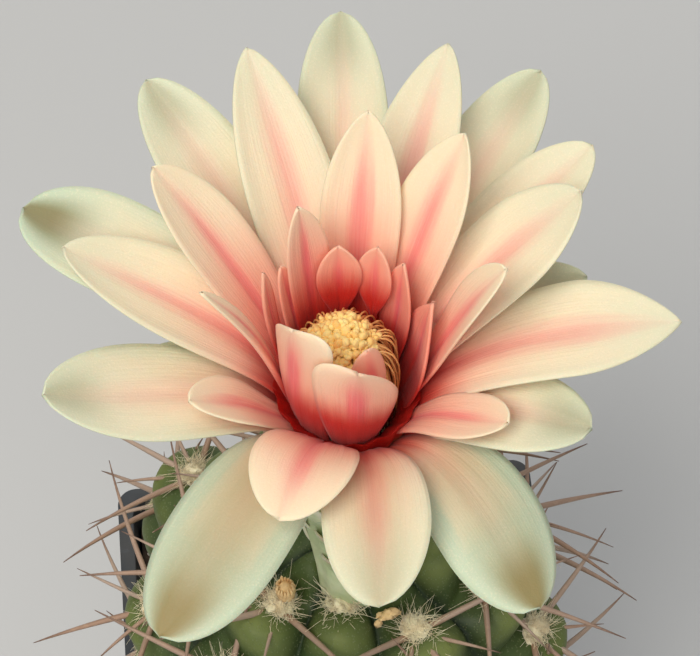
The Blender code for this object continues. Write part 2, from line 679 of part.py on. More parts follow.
def build_tube(collection, cutters, repeats, material):
    """Floral tube with its rows of scales and the seat of the throat collar."""
    outside = at_axis(TUBE_PROFILE)
    foot = TUBE_FOOT.z - MOUTH.z
    profile = [(0.0, TUBE_TOP)] + outside[:0:-1] + [(TUBE_FOOT_RADIUS, foot), (0.0, foot)]
    tube = turned("floral_tube", profile, TUBE_SEGMENTS, collection)
    shift_mesh(tube, tube_centre)
    for height, count, start, length, width, lean in SCALE_ROWS:
        base = tube_radius(height * MM) / MM - SCALE_SUNK
        arch = length / 3.0
        row = Whorl(base, height, arch, lean - SCALE_BOW / 2.0, arch, lean + SCALE_BOW / 2.0, 3, 2)
        reach = base + length * sin(radians(lean))
        rise = height + length * cos(radians(lean))
        for i in range(count):
            azimuth = start + i * 360.0 / count
            scale = Blade(row, azimuth, reach, rise, width, point=0.3, cup=0.75, widest=0.55)
            add_blade("scale", scale, tube_centre, repeats)
    boolean(tube, "UNION", collection=repeats)
    discard(repeats.objects)
    seat = [(radius + GAP, height) for radius, height in at_axis(COLLAR_OUTSIDE)]
    seat_profile = [(0.0, seat[-1][1])] + seat[::-1] + [(0.0, seat[0][1] - GAP)]
    seat_profile[-2] = (seat[0][0], seat[0][1] - GAP)
    hollow = turned("hollow", seat_profile, COLLAR_SEGMENTS, cutters)
    shift_mesh(hollow, MOUTH)
    boolean(tube, "DIFFERENCE", as_cutter(hollow))
    discard(cutters.objects)
    return dress(tube, material)


def build_stamens(collection, cutters, repeats, material):
    """Anthers crowded on the bundle of their filaments, with a hole for the style."""
    profile = at_axis(STAMEN_CORE)
    closed = [(0.0, profile[-1][1])] + profile[::-1] + [(0.0, profile[0][1])]
    stamens = turned("stamens", closed, STAMEN_SEGMENTS, collection)
    shift_mesh(stamens, MOUTH)
    draw = random.Random(ANTHER_SEED)
    for height, radius, count in ANTHER_ROWS:
        for i in range(count):
            step = i + draw.uniform(-ANTHER_SWING, ANTHER_SWING)
            azimuth = 360.0 * step / count + ANTHER_TURN * height
            lift = (height + draw.uniform(-ANTHER_LIFT, ANTHER_LIFT)) * MM
            shape = bmesh.new()
            bmesh.ops.create_icosphere(shape, subdivisions=1, radius=ANTHER_RADIUS)
            spot = MOUTH + compass(azimuth) * radius * MM + Vector((0.0, 0.0, lift))
            turn = Matrix.Rotation(draw.uniform(0.0, tau), 4, Vector((1.0, 0.4, 0.2)))
            bmesh.ops.transform(shape, matrix=Matrix.Translation(spot) @ turn, verts=shape.verts)
            from_bmesh("anther", shape, repeats)
    boolean(stamens, "UNION", collection=repeats)
    discard(repeats.objects)
    low = MOUTH.z + 2.0 * STAMEN_CORE[0][0] * MM
    high = MOUTH.z + 2.0 * ANTHER_ROWS[0][0] * MM
    bore = cylinder("bore", STYLE_RADIUS + GAP, low, high, MOUTH, cutters, STYLE_SEGMENTS)
    boolean(stamens, "DIFFERENCE", as_cutter(bore))
    discard(cutters.objects)
    return dress(stamens, material)


def build_style(collection, repeats, material):
    """Style with its stigma lobes, which stand nearly closed."""
    low = MOUTH.z + STAMEN_CORE[0][0] * MM
    high = MOUTH.z + STYLE_TOP + STIGMA_RISE
    style = cylinder("style", STYLE_RADIUS, low, high, MOUTH, collection, STYLE_SEGMENTS)
    for i in range(STIGMA_LOBES):
        out = compass(360.0 * i / STIGMA_LOBES)
        start = MOUTH + Vector((0.0, 0.0, STYLE_TOP + 2.0 * LOBE_BASE))
        points = [start, start + out * STIGMA_REACH + Vector((0.0, 0.0, STIGMA_RISE))]
        tapered_rod("lobe", points, LOBE_BASE, LOBE_TIP, 4, repeats)
    boolean(style, "UNION", collection=repeats)
    discard(repeats.objects)
    return dress(style, material)


def main():
    """Builds the pot, the soil, the stem and the flower."""
    for thing in list(bpy.data.objects):
        bpy.data.objects.remove(thing, do_unlink=True)
    scene = bpy.context.scene.collection
    cactus = bpy.data.collections.new("chin_cactus")
    cutters = bpy.data.collections.new("cutters")
    repeats = bpy.data.collections.new("repeats")
    for collection in (cactus, cutters, repeats):
        scene.children.link(collection)
    plastic = make_material("pot_plastic", (0.045, 0.062, 0.085), 0.45)
    grit = make_material("soil_grit", (0.09, 0.065, 0.045), 0.95)
    skin = make_material("stem_skin", (0.13, 0.22, 0.085), 0.6, 0.05)
    scale_green = make_material("scale_green", (0.42, 0.52, 0.33), 0.5, 0.1)
    petal = make_material("petal", (0.83, 0.62, 0.50), 0.45, 0.2)
    pollen = make_material("pollen", (0.85, 0.60, 0.22), 0.7)
    pistil = make_material("pistil", (0.80, 0.66, 0.35), 0.5)
    build_pot(cactus, cutters, plastic)
    build_soil(cactus, cutters, grit)
    build_stem(cactus, cutters, repeats, skin)
    build_tube(cactus, cutters, repeats, scale_green)
    build_tepals(cactus, repeats, petal)
    build_stamens(cactus, cutters, repeats, pollen)
    build_style(cactus, repeats, pistil)
    for collection in (cutters, repeats):
        bpy.data.collections.remove(collection)


if __name__ == "__main__":
    main()
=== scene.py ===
"""Looks of a chin cactus in flower with its square pot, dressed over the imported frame.

Lengths are metres, and millimetres where a name or a docstring says so. +Z is up and the
front is -Y, as in the frame. Compass angles run clockwise from the rear (+Y), seen from
above, and polar angles down from the top of the stem.
"""
import logging
import random
from collections.abc import Callable, Iterable, Iterator, Sequence
from contextlib import contextmanager
from dataclasses import asdict, dataclass, field, replace
from enum import Enum
from math import atan2, cos, degrees, exp, pi, radians, sin, sqrt, tau

import bpy
from bpy.types import Material, Mesh, Node, NodeSocket, NodeTree, Object
from mathutils import Matrix, Vector, noise

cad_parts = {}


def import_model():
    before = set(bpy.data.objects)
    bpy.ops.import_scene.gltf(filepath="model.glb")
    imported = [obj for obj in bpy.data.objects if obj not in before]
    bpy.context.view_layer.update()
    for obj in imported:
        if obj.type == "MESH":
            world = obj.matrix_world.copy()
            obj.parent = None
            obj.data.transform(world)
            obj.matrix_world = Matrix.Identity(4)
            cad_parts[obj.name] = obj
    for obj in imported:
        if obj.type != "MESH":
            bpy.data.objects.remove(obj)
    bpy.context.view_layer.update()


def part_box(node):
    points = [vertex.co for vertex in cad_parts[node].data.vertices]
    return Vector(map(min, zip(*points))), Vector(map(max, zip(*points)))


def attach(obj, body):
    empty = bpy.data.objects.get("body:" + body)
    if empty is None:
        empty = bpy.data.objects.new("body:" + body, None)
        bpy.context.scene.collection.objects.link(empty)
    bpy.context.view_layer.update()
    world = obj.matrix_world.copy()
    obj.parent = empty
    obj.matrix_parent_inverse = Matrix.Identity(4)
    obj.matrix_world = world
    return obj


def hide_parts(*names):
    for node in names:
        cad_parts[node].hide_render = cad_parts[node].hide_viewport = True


LOG = logging.getLogger("chin_cactus")
MM = 0.001
MERGE = 0.01 * MM
UP = Vector((0.0, 0.0, 1.0))
Colour = tuple[float, float, float]
Curve = Callable[[float], Vector]
Bend = Callable[[Vector], Vector]
Sockets = dict[str, object]


def compass(angle: float) -> Vector:
    """The level direction at a compass angle in degrees."""
    return Vector((sin(radians(angle)), cos(radians(angle)), 0.0))


def smooth_step(value: float, start: float, end: float) -> float:
    """0 before start, 1 after end, and an even ramp between."""
    share = min(1.0, max(0.0, (value - start) / (end - start)))
    return share * share * (3.0 - 2.0 * share)


def bump_at(value: float, centre: float, width: float) -> float:
    """A bell of height 1 round centre."""
    return exp(-((value - centre) / width) ** 2)


def pick(*things: Object) -> None:
    """Selects these things and no others, and makes the first one active."""
    for thing in bpy.context.selected_objects:
        thing.select_set(False)
    for thing in things:
        thing.select_set(True)
    if things:
        bpy.context.view_layer.objects.active = things[0]


@contextmanager
def editing() -> Iterator[None]:
    """Edit mode on the active piece, with all of it selected, and object mode afterwards."""
    bpy.ops.object.mode_set(mode="EDIT")
    bpy.ops.mesh.select_all(action="SELECT")
    yield
    bpy.ops.object.mode_set(mode="OBJECT")


def rename(thing: Object, name: str) -> Object:
    """Gives a name to a piece and its mesh."""
    thing.name = name
    thing.data.name = name
    return thing


def primitive(kind: str, name: str, **sizes: object) -> Object:
    """Adds a mesh primitive.

    Args:
        kind: the operator's name between primitive_ and _add.
        name: the new object's name.
        sizes: what the operator takes.

    Returns:
        The new object, the only one selected.
    """
    pick()
    getattr(bpy.ops.mesh, f"primitive_{kind}_add")(**sizes)
    return rename(bpy.context.object, name)


def settle(thing: Object) -> None:
    """Puts a piece's place into its mesh, so that its object sits untransformed at the origin."""
    thing.data.transform(thing.matrix_world)
    thing.matrix_world = Matrix.Identity(4)


def apply_modifier(thing: Object, kind: str, **settings: object) -> None:
    """Adds a modifier with its settings and applies it."""
    pick(thing)
    modifier = thing.modifiers.new(kind.title(), kind)
    for name, value in settings.items():
        setattr(modifier, name, value)
    bpy.ops.object.modifier_apply(modifier=modifier.name)


def join(things: Sequence[Object], name: str) -> Object:
    """Joins objects into one piece with a name."""
    pick(*things)
    bpy.ops.object.join()
    return rename(bpy.context.object, name)


def weld(thing: Object) -> Object:
    """Merges doubled points and turns every face outwards."""
    pick(thing)
    with editing():
        bpy.ops.mesh.remove_doubles(threshold=MERGE)
        bpy.ops.mesh.normals_make_consistent(inside=False)
    return thing


def smooth(thing: Object, angle: float = 180.0) -> Object:
    """Shades a piece smooth, with sharp edges above an angle in degrees."""
    pick(thing)
    if angle < 180.0:
        bpy.ops.object.shade_smooth_by_angle(angle=radians(angle))
    else:
        bpy.ops.object.shade_smooth()
    return thing


def remember(mesh: Mesh, name: str, values: Sequence[float]) -> None:
    """Stores one number a point as a mesh attribute."""
    attribute = mesh.attributes.new(name, "FLOAT", "POINT")
    attribute.data.foreach_set("value", values)


def hand_over(thing: Object, material: Material, slot: str, *nodes: str) -> Object:
    """Dresses a finished piece, lets it ride on the body and hides the frame's nodes that it replaces.

    Args:
        thing: the finished piece.
        material: its finish.
        slot: not used.
        nodes: the frame's nodes that it replaces.

    Returns:
        The same piece.
    """
    thing.data.materials.clear()
    thing.data.materials.append(material)
    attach(thing, "root")
    if nodes:
        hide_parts(*nodes)
    thing.data.calc_loop_triangles()
    LOG.info("%s: %d triangles", thing.name, len(thing.data.loop_triangles))
    return thing


class Graph:
    """Adds and links the nodes of one material or group."""

    def __init__(self, tree: NodeTree) -> None:
        self.tree = tree

    def add(self, kind: str, settings: dict[str, object] | None = None, **sockets: object) -> Node:
        """Adds a node.

        Args:
            kind: the node's type after ShaderNode.
            settings: the node's own settings.
            sockets: numbers or outputs for its inputs, with _ for a blank.

        Returns:
            The node.
        """
        node = self.tree.nodes.new(f"ShaderNode{kind}")
        for name, value in (settings or {}).items():
            setattr(node, name, value)
        for name, value in sockets.items():
            self.feed(node.inputs[name.replace("_", " ")], value)
        return node

    def feed(self, socket: NodeSocket, value: object) -> None:
        """Links an output to an input, or sets the input's number."""
        if isinstance(value, NodeSocket):
            self.tree.links.new(value, socket)
        elif isinstance(value, tuple) and len(value) == 3 and socket.type == "RGBA":
            socket.default_value = (*value, 1.0)
        else:
            socket.default_value = value

    def sum(self, operation: str, first: object, second: object = 0.0) -> NodeSocket:
        """A sum of one or two numbers."""
        node = self.add("Math", {"operation": operation})
        self.feed(node.inputs[0], first)
        self.feed(node.inputs[1], second)
        return node.outputs[0]

    def times(self, first: object, second: object) -> NodeSocket:
        """One number multiplied by another."""
        return self.sum("MULTIPLY", first, second)

    def plus(self, first: object, second: object) -> NodeSocket:
        """One number added to another."""
        return self.sum("ADD", first, second)

    def minus(self, first: object, second: object) -> NodeSocket:
        """One number less another."""
        return self.sum("SUBTRACT", first, second)

    def ramp(self, value: object, start: float, end: float, low: float = 0.0,
             high: float = 1.0) -> NodeSocket:
        """A smooth ramp from low at start to high at end."""
        node = self.add("MapRange", {"interpolation_type": "SMOOTHSTEP"}, Value=value, From_Min=start,
                        From_Max=end, To_Min=low, To_Max=high)
        return node.outputs[0]

    def blend(self, share: object, first: object, second: object) -> NodeSocket:
        """A mix of two colours."""
        node = self.add("Mix", {"data_type": "RGBA"})
        self.feed(node.inputs[0], share)
        self.feed(node.inputs[6], first)
        self.feed(node.inputs[7], second)
        return node.outputs[2]

    def noise(self, vector: NodeSocket, scale: float, detail: float = 2.0,
              roughness: float = 0.5) -> NodeSocket:
        """Noise between 0 and 1."""
        node = self.add("TexNoise", Vector=vector, Scale=scale, Detail=detail, Roughness=roughness)
        return node.outputs[0]

    def number(self, name: str) -> NodeSocket:
        """A point attribute of the mesh."""
        return self.add("Attribute", {"attribute_name": name}).outputs["Fac"]

    def place(self) -> NodeSocket:
        """The object's own coordinates."""
        return self.add("TexCoord").outputs["Object"]

    def height(self, place: NodeSocket) -> NodeSocket:
        """The height of a place."""
        return self.add("SeparateXYZ", Vector=place).outputs[2]

    def blade(self) -> tuple[NodeSocket, NodeSocket, NodeSocket]:
        """The spread of a blade's sheet, the share of its length, and the way from midrib to margin."""
        spread = self.add("UVMap", {"uv_map": "UVMap"}).outputs[0]
        apart = self.add("SeparateXYZ", Vector=spread)
        side = self.sum("ABSOLUTE", self.minus(self.times(apart.outputs[0], 2.0), 1.0))
        return spread, apart.outputs[1], side

    def use(self, group: NodeTree, **sockets: object) -> NodeSocket:
        """What a group gives for its values."""
        return self.add("Group", {"node_tree": group}, **sockets).outputs[0]

    def relief(self, height: NodeSocket, distance: float, strength: float = 1.0) -> NodeSocket:
        """A normal from a height, with its depth in metres."""
        return self.add("Bump", Height=height, Distance=distance, Strength=strength).outputs[0]


def new_group(name: str, inputs: dict[str, float | None],
              output: str) -> tuple[NodeTree, Graph, Node, Node]:
    """Starts a shader group.

    Args:
        name: the group's name.
        inputs: the name and value of each number, or None for a vector.
        output: the name of the number that it gives.

    Returns:
        The group, its graph, and its input and output nodes.
    """
    tree = bpy.data.node_groups.new(name, "ShaderNodeTree")
    for title, value in inputs.items():
        kind = "NodeSocketVector" if value is None else "NodeSocketFloat"
        socket = tree.interface.new_socket(title, in_out="INPUT", socket_type=kind)
        if value is not None:
            socket.default_value = value
    tree.interface.new_socket(output, in_out="OUTPUT", socket_type="NodeSocketFloat")
    graph = Graph(tree)
    entry = tree.nodes.new("NodeGroupInput")
    end = tree.nodes.new("NodeGroupOutput")
    return tree, graph, entry, end


def speckle_group() -> NodeTree:
    """Fine dots: Size is how many fit in a metre, Share how much they cover."""
    tree, graph, entry, end = new_group("speckle", {"Vector": None, "Size": 2000.0, "Share": 0.3}, "Dots")
    cells = graph.add("TexVoronoi", Vector=entry.outputs["Vector"], Scale=entry.outputs["Size"])
    edge = graph.minus(cells.outputs["Distance"], entry.outputs["Share"])
    graph.feed(end.inputs["Dots"], graph.minus(1.0, graph.ramp(edge, 0.0, 0.12)))
    return tree


def mottle_group() -> NodeTree:
    """Soft cloudy patches: Size is about how many fit in a metre."""
    tree, graph, entry, end = new_group("mottle", {"Vector": None, "Size": 120.0}, "Patches")
    wide = graph.add("TexNoise", Vector=entry.outputs["Vector"], Scale=entry.outputs["Size"], Detail=4.0)
    graph.feed(end.inputs["Patches"], graph.ramp(wide.outputs[0], 0.32, 0.68))
    return tree


def streak_group() -> NodeTree:
    """Fine lines along a blade: Lines counts them across, Length how often they break."""
    inputs = {"Vector": None, "Lines": 60.0, "Length": 2.0, "Offset": 0.0}
    tree, graph, entry, end = new_group("streaks", inputs, "Lines")
    apart = graph.add("SeparateXYZ", Vector=entry.outputs["Vector"])
    across = graph.times(apart.outputs[0], entry.outputs["Lines"])
    along = graph.times(apart.outputs[1], entry.outputs["Length"])
    stretched = graph.add("CombineXYZ", X=across, Y=along, Z=entry.outputs["Offset"])
    graph.feed(end.inputs["Lines"], graph.noise(stretched.outputs[0], 1.0, 3.0))
    return tree


@dataclass(frozen=True)
class Effects:
    """The groups that several finishes share."""
    speckle: NodeTree
    mottle: NodeTree
    streaks: NodeTree


@dataclass(frozen=True)
class Finish:
    """What every finish sets straight on its shader, before its own paint."""
    name: str
    roughness: float = 0.5
    subsurface: float = 0.0
    bleed: float = 1.0
    sheen: float = 0.0
    specular: float = 0.5
    tissue: Colour = (1.0, 0.45, 0.28)

    def make(self, effects: Effects) -> Material:
        """The finished material."""
        material = bpy.data.materials.new(self.name)
        material.use_nodes = True
        graph = Graph(material.node_tree)
        shader = material.node_tree.nodes["Principled BSDF"]
        plain = {
            "Roughness": self.roughness,
            "Subsurface Weight": self.subsurface,
            "Subsurface Radius": self.tissue,
            "Subsurface Scale": self.bleed * MM,
            "Sheen Weight": self.sheen,
            "Specular IOR Level": self.specular,
        }
        for values in (plain, self.paint(graph, graph.place(), effects)):
            for title, value in values.items():
                graph.feed(shader.inputs[title], value)
        return material

    def paint(self, graph: Graph, place: NodeSocket, effects: Effects) -> Sockets:
        """Adds the nodes of a finish.

        Args:
            graph: the material's graph.
            place: the object's own coordinates.
            effects: the shared groups.

        Returns:
            What goes into the shader's sockets, by their names.
        """
        raise NotImplementedError


@dataclass(frozen=True)
class PlasticFinish(Finish):
    """Moulded plastic with fine grain, scuffs and dust near the soil."""
    colour: Colour = (0.018, 0.026, 0.035)
    scuffed: Colour = (0.06, 0.08, 0.10)
    dust: Colour = (0.20, 0.17, 0.13)
    dust_height: float = 49.0 * MM

    def paint(self, graph: Graph, place: NodeSocket, effects: Effects) -> Sockets:
        """Scuffs all over, and dust at the foot and the rim."""
        patches = graph.use(effects.mottle, Vector=place, Size=90.0)
        scuffs = graph.ramp(graph.noise(place, 420.0, 6.0, 0.7), 0.60, 0.72)
        worn = graph.blend(graph.times(scuffs, 0.35), self.colour, self.scuffed)
        height = graph.height(place)
        dusty = graph.plus(graph.ramp(height, 0.0, 9.0 * MM, 0.45, 0.0),
                           graph.ramp(height, self.dust_height - 4.0 * MM, self.dust_height, 0.0, 0.18))
        return {
            "Base Color": graph.blend(graph.times(dusty, patches), worn, self.dust),
            "Roughness": graph.ramp(patches, 0.0, 1.0, 0.38, 0.52),
            "Normal": graph.relief(graph.noise(place, 2600.0), 0.03 * MM, 0.6),
        }


@dataclass(frozen=True)
class SoilFinish(Finish):
    """Dark crumbly mix."""
    dark: Colour = (0.022, 0.014, 0.009)
    brown: Colour = (0.095, 0.058, 0.034)

    def paint(self, graph: Graph, place: NodeSocket, effects: Effects) -> Sockets:
        """Brown patches in dark crumbs."""
        patches = graph.use(effects.mottle, Vector=place, Size=260.0)
        return {
            "Base Color": graph.blend(patches, self.dark, self.brown),
            "Normal": graph.relief(graph.noise(place, 1400.0, 5.0, 0.7), 0.5 * MM),
        }


@dataclass(frozen=True)
class GritFinish(Finish):
    """Grains of pumice, bark and stone, told apart by their tone."""
    stops: tuple[tuple[float, Colour], ...] = (
        (0.0, (0.018, 0.011, 0.008)),
        (0.45, (0.075, 0.042, 0.024)),
        (0.62, (0.20, 0.13, 0.08)),
        (0.80, (0.36, 0.30, 0.23)),
        (1.0, (0.62, 0.58, 0.50)),
    )
    pore: Colour = (0.03, 0.02, 0.015)

    def paint(self, graph: Graph, place: NodeSocket, effects: Effects) -> Sockets:
        """One tone a grain, with dark pores."""
        ramp = graph.add("ValToRGB", Fac=graph.number("tone"))
        for position, _ in self.stops[1:-1]:
            ramp.color_ramp.elements.new(position)
        for element, (position, colour) in zip(ramp.color_ramp.elements, self.stops):
            element.position = position
            element.color = (*colour, 1.0)
        pores = graph.use(effects.speckle, Vector=place, Size=4200.0, Share=0.25)
        return {
            "Base Color": graph.blend(graph.times(pores, 0.35), ramp.outputs[0], self.pore),
            "Normal": graph.relief(graph.noise(place, 3200.0, 4.0), 0.12 * MM),
        }


@dataclass(frozen=True)
class SkinFinish(Finish):
    """Dull green epidermis with pale dots, darker in the grooves as painted shade, yellower and lighter on
    the chins as the skin's tone with a painted highlight, and corky at the foot.
    """
    green: Colour = (0.060, 0.092, 0.022)
    # Painted shade: the dark green of the grooves between the ribs.
    groove_shade: Colour = (0.016, 0.032, 0.009)
    # The chins' yellower tone, lightened as a painted highlight on the bulges.
    chin: Colour = (0.20, 0.235, 0.062)
    dot: Colour = (0.20, 0.24, 0.11)
    cork: Colour = (0.20, 0.125, 0.065)
    cork_height: float = 50.0 * MM

    def paint(self, graph: Graph, place: NodeSocket, effects: Effects) -> Sockets:
        """Painted groove shade, chins with the skin's yellower tone and a painted highlight, dots and cork
        over each other.
        """
        patches = graph.use(effects.mottle, Vector=place, Size=140.0)
        # Painted shade: darker green down in the grooves, full green up on the ridges.
        body = graph.blend(graph.ramp(graph.number("ridge"), 0.1, 0.85), self.groove_shade, self.green)
        # Chins: yellower skin with a painted highlight on the tops of the bulges.
        chin = graph.times(graph.number("chin"), graph.ramp(patches, 0.0, 1.0, 0.40, 0.85))
        body = graph.blend(chin, body, self.chin)
        dots = graph.use(effects.speckle, Vector=place, Size=2600.0, Share=0.20)
        body = graph.blend(graph.times(dots, 0.38), body, self.dot)
        wavy = graph.plus(graph.height(place), graph.times(patches, 3.0 * MM))
        cork = graph.ramp(wavy, self.cork_height - 3.0 * MM, self.cork_height + 4.0 * MM, 0.8, 0.0)
        wrinkles = graph.plus(graph.times(dots, 0.5), graph.noise(place, 900.0, 4.0, 0.6))
        return {
            "Base Color": graph.blend(cork, body, self.cork),
            "Roughness": graph.ramp(patches, 0.0, 1.0, 0.5, 0.64),
            "Normal": graph.relief(wrinkles, 0.10 * MM, 0.7),
        }


@dataclass(frozen=True)
class WoolFinish(Finish):
    """Cream felt and hairs, browner where they are old."""
    fresh: Colour = (0.98, 0.90, 0.62)
    old: Colour = (0.74, 0.55, 0.30)

    def paint(self, graph: Graph, place: NodeSocket, effects: Effects) -> Sockets:
        """Old patches in fresh wool."""
        patches = graph.use(effects.mottle, Vector=place, Size=700.0)
        return {
            "Base Color": graph.blend(graph.times(patches, 0.6), self.fresh, self.old),
            "Normal": graph.relief(graph.noise(place, 5200.0, 3.0), 0.08 * MM),
        }


@dataclass(frozen=True)
class SpineFinish(Finish):
    """Horn, from a yellowish foot through pinkish brown to a darker tip."""
    foot: Colour = (0.36, 0.21, 0.11)
    middle: Colour = (0.34, 0.205, 0.135)
    grey: Colour = (0.42, 0.32, 0.245)
    tip: Colour = (0.15, 0.08, 0.05)
    worn: Colour = (0.50, 0.33, 0.22)

    def paint(self, graph: Graph, place: NodeSocket, effects: Effects) -> Sockets:
        """Foot, middle and tip, with worn spots."""
        along = graph.number("along")
        spots = graph.noise(place, 1500.0)
        body = graph.blend(graph.times(graph.number("tone"), 0.8), self.middle, self.grey)
        body = graph.blend(graph.ramp(along, 0.0, 0.22), self.foot, body)
        dark = graph.ramp(graph.plus(along, graph.times(spots, 0.25)), 0.72, 1.12)
        body = graph.blend(dark, body, self.tip)
        pale = graph.times(graph.ramp(spots, 0.5, 0.7), 0.35)
        return {
            "Base Color": graph.blend(pale, body, self.worn),
            "Normal": graph.relief(spots, 0.05 * MM, 0.5),
        }


@dataclass(frozen=True)
class TubeFinish(Finish):
    """Smooth pale green tissue of the tube and its scales, with cream margins."""
    green: Colour = (0.50, 0.60, 0.30)
    pale: Colour = (0.80, 0.84, 0.54)
    margin: Colour = (0.82, 0.78, 0.58)
    blush: Colour = (0.40, 0.22, 0.12)

    def paint(self, graph: Graph, place: NodeSocket, effects: Effects) -> Sockets:
        """Streaked green, with the margins and tips of the scales."""
        spread, along, side = graph.blade()
        scale = graph.number("scale")
        patches = graph.use(effects.mottle, Vector=place, Size=220.0)
        streaks = graph.use(effects.streaks, Vector=spread, Lines=30.0, Length=2.0)
        body = graph.blend(graph.ramp(patches, 0.0, 1.0, 0.1, 0.7), self.green, self.pale)
        body = graph.blend(graph.ramp(streaks, 0.45, 0.7, 0.0, 0.3), body, self.pale)
        body = graph.blend(graph.times(scale, graph.ramp(side, 0.62, 0.98)), body, self.margin)
        tip = graph.times(scale, graph.ramp(along, 0.72, 1.0, 0.0, 0.5))
        return {
            "Base Color": graph.blend(tip, body, self.blush),
            "Normal": graph.relief(graph.plus(streaks, graph.noise(place, 2400.0)), 0.05 * MM, 0.6),
        }


@dataclass(frozen=True)
class TepalFinish(Finish):
    """Petal tissue: cream, with a rose midstripe, a rose wash round the throat, a dark red foot that is the
    real red with painted shade deep in the funnel, painted glints, painted shade with a tan midrib on
    drooping blades, and green outside.
    """
    throat: Vector = field(default_factory=lambda: Vector((0.0, 0.0, 0.0)))
    cream: Colour = (0.86, 0.70, 0.48)
    sage: Colour = (0.52, 0.62, 0.45)
    tan: Colour = (0.20, 0.175, 0.06)
    # Painted shade with a tan midrib tone, for the middle of the drooping front blades.
    shade_and_tan_colour: Colour = (0.33, 0.25, 0.10)
    rose: Colour = (0.88, 0.23, 0.165)
    stripe: Colour = (0.80, 0.12, 0.15)
    # Dark red of the blades' feet: the real red, darkened as painted shade deep in the funnel.
    foot: Colour = (0.56, 0.015, 0.006)
    # Pale vein colour, also used for the painted glints.
    vein_and_glint: Colour = (0.98, 0.83, 0.62)
    vein_lines: float = 46.0
    stripe_width: float = 0.42

    def paint(self, graph: Graph, place: NodeSocket, effects: Effects) -> Sockets:
        """Each blade's tint, from its pale ground to its dark red foot, which is the real red with painted
        shade deep in the funnel.
        """
        spread, along, side = graph.blade()
        flush, green, seed = (graph.number(title) for title in ("flush", "green", "seed"))
        fine = graph.use(effects.streaks, Vector=spread, Lines=self.vein_lines, Length=1.6, Offset=seed)
        wide = graph.use(effects.streaks, Vector=spread, Lines=9.0, Length=2.2, Offset=seed)
        wobble = graph.times(graph.minus(wide, 0.5), 0.35)
        outward = graph.plus(side, wobble)
        waver = graph.plus(side, graph.times(graph.minus(wide, 0.5), 0.05))

        rim = graph.sum("MAXIMUM", graph.ramp(outward, 0.40, 1.05, 0.0, 0.8), graph.ramp(along, 0.60, 1.0))
        leafy = graph.times(graph.plus(graph.times(rim, 0.78), 0.22), green)
        body = graph.blend(leafy, self.cream, self.sage)
        # Painted glints: pale dots of noise in the colour.
        painted_glints = graph.ramp(graph.noise(place, 5200.0, 1.0), 0.50, 0.75, 0.0, 0.22)
        body = graph.blend(painted_glints, body, self.vein_and_glint)
        spot = graph.times(graph.ramp(along, 0.77, 0.93), graph.ramp(waver, 0.20, 0.85, 1.0, 0.0))
        body = graph.blend(graph.times(spot, graph.ramp(green, 0.5, 1.1, 0.0, 0.95)), body, self.tan)

        away = graph.add("VectorMath", {"operation": "DISTANCE"})
        graph.feed(away.inputs[0], place)
        away.inputs[1].default_value = self.throat
        spill = graph.times(outward, graph.ramp(flush, 0.0, 1.0, 5.0, 1.5))
        reach = graph.plus(graph.sum("DIVIDE", away.outputs["Value"], MM), spill)
        reach = graph.minus(reach, graph.times(flush, 9.0))
        wash = graph.times(graph.ramp(reach, 4.0, 25.0, 0.92, 0.0), graph.ramp(flush, 0.0, 0.8, 0.75, 1.0))
        body = graph.blend(wash, body, self.rose)
        line = graph.times(graph.ramp(outward, 0.02, self.stripe_width, 1.0, 0.0),
                           graph.ramp(along, 0.66, 1.0, 1.0, 0.10))
        body = graph.blend(graph.times(line, graph.number("band")), body, self.stripe)

        veins = graph.times(graph.ramp(fine, 0.42, 0.75, 0.0, 0.12), graph.ramp(along, 0.60, 0.85, 1.0, 0.2))
        body = graph.blend(veins, body, self.vein_and_glint)
        # The dark red foot up to each blade's depth: the real red with painted shade where the base lies deep
        # in the funnel.
        start = graph.plus(graph.minus(along, graph.number("depth")), graph.times(wobble, 0.2))
        body = graph.blend(graph.ramp(start, -0.20, 0.08, 1.0, 0.0), body, self.foot)
        # Painted shade with a tan midrib tone over the middle of drooping blades, as strong as each blade's
        # number.
        middle = graph.times(graph.ramp(waver, 0.20, 1.0, 1.0, 0.15), graph.ramp(along, 0.20, 0.5, 0.3, 1.0))
        body = graph.blend(graph.times(middle, graph.number("dim")), body, self.shade_and_tan_colour)
        under = graph.times(graph.number("underside"), graph.ramp(side, 0.0, 0.7, 0.7, 0.25))
        pleats = graph.plus(fine, graph.times(wide, 1.6))
        pleats = graph.times(pleats, graph.ramp(along, 0.65, 0.95, 1.0, 0.15))
        height = graph.plus(pleats, graph.times(graph.noise(place, 3800.0), 0.5))
        return {
            "Base Color": graph.blend(graph.times(under, green), body, self.sage),
            "Normal": graph.relief(height, 0.10 * MM, 0.6),
        }


@dataclass(frozen=True)
class ThroatFinish(Finish):
    """Deep red lining of the throat, ridged lengthwise, green outside."""
    red: Colour = (0.44, 0.010, 0.005)
    # Painted glints: the lighter red of the patches inside.
    painted_glint_red: Colour = (0.62, 0.025, 0.018)
    outside: Colour = (0.36, 0.38, 0.20)

    def paint(self, graph: Graph, place: NodeSocket, effects: Effects) -> Sockets:
        """Painted glints as lighter red patches inside, green outside."""
        patches = graph.use(effects.mottle, Vector=place, Size=420.0)
        # Painted glints: lighter red patches over the deep red.
        body = graph.blend(graph.times(patches, 0.6), self.red, self.painted_glint_red)
        return {
            "Base Color": graph.blend(graph.number("outside"), body, self.outside),
            "Normal": graph.relief(graph.noise(place, 1700.0, 3.0), 0.10 * MM),
        }


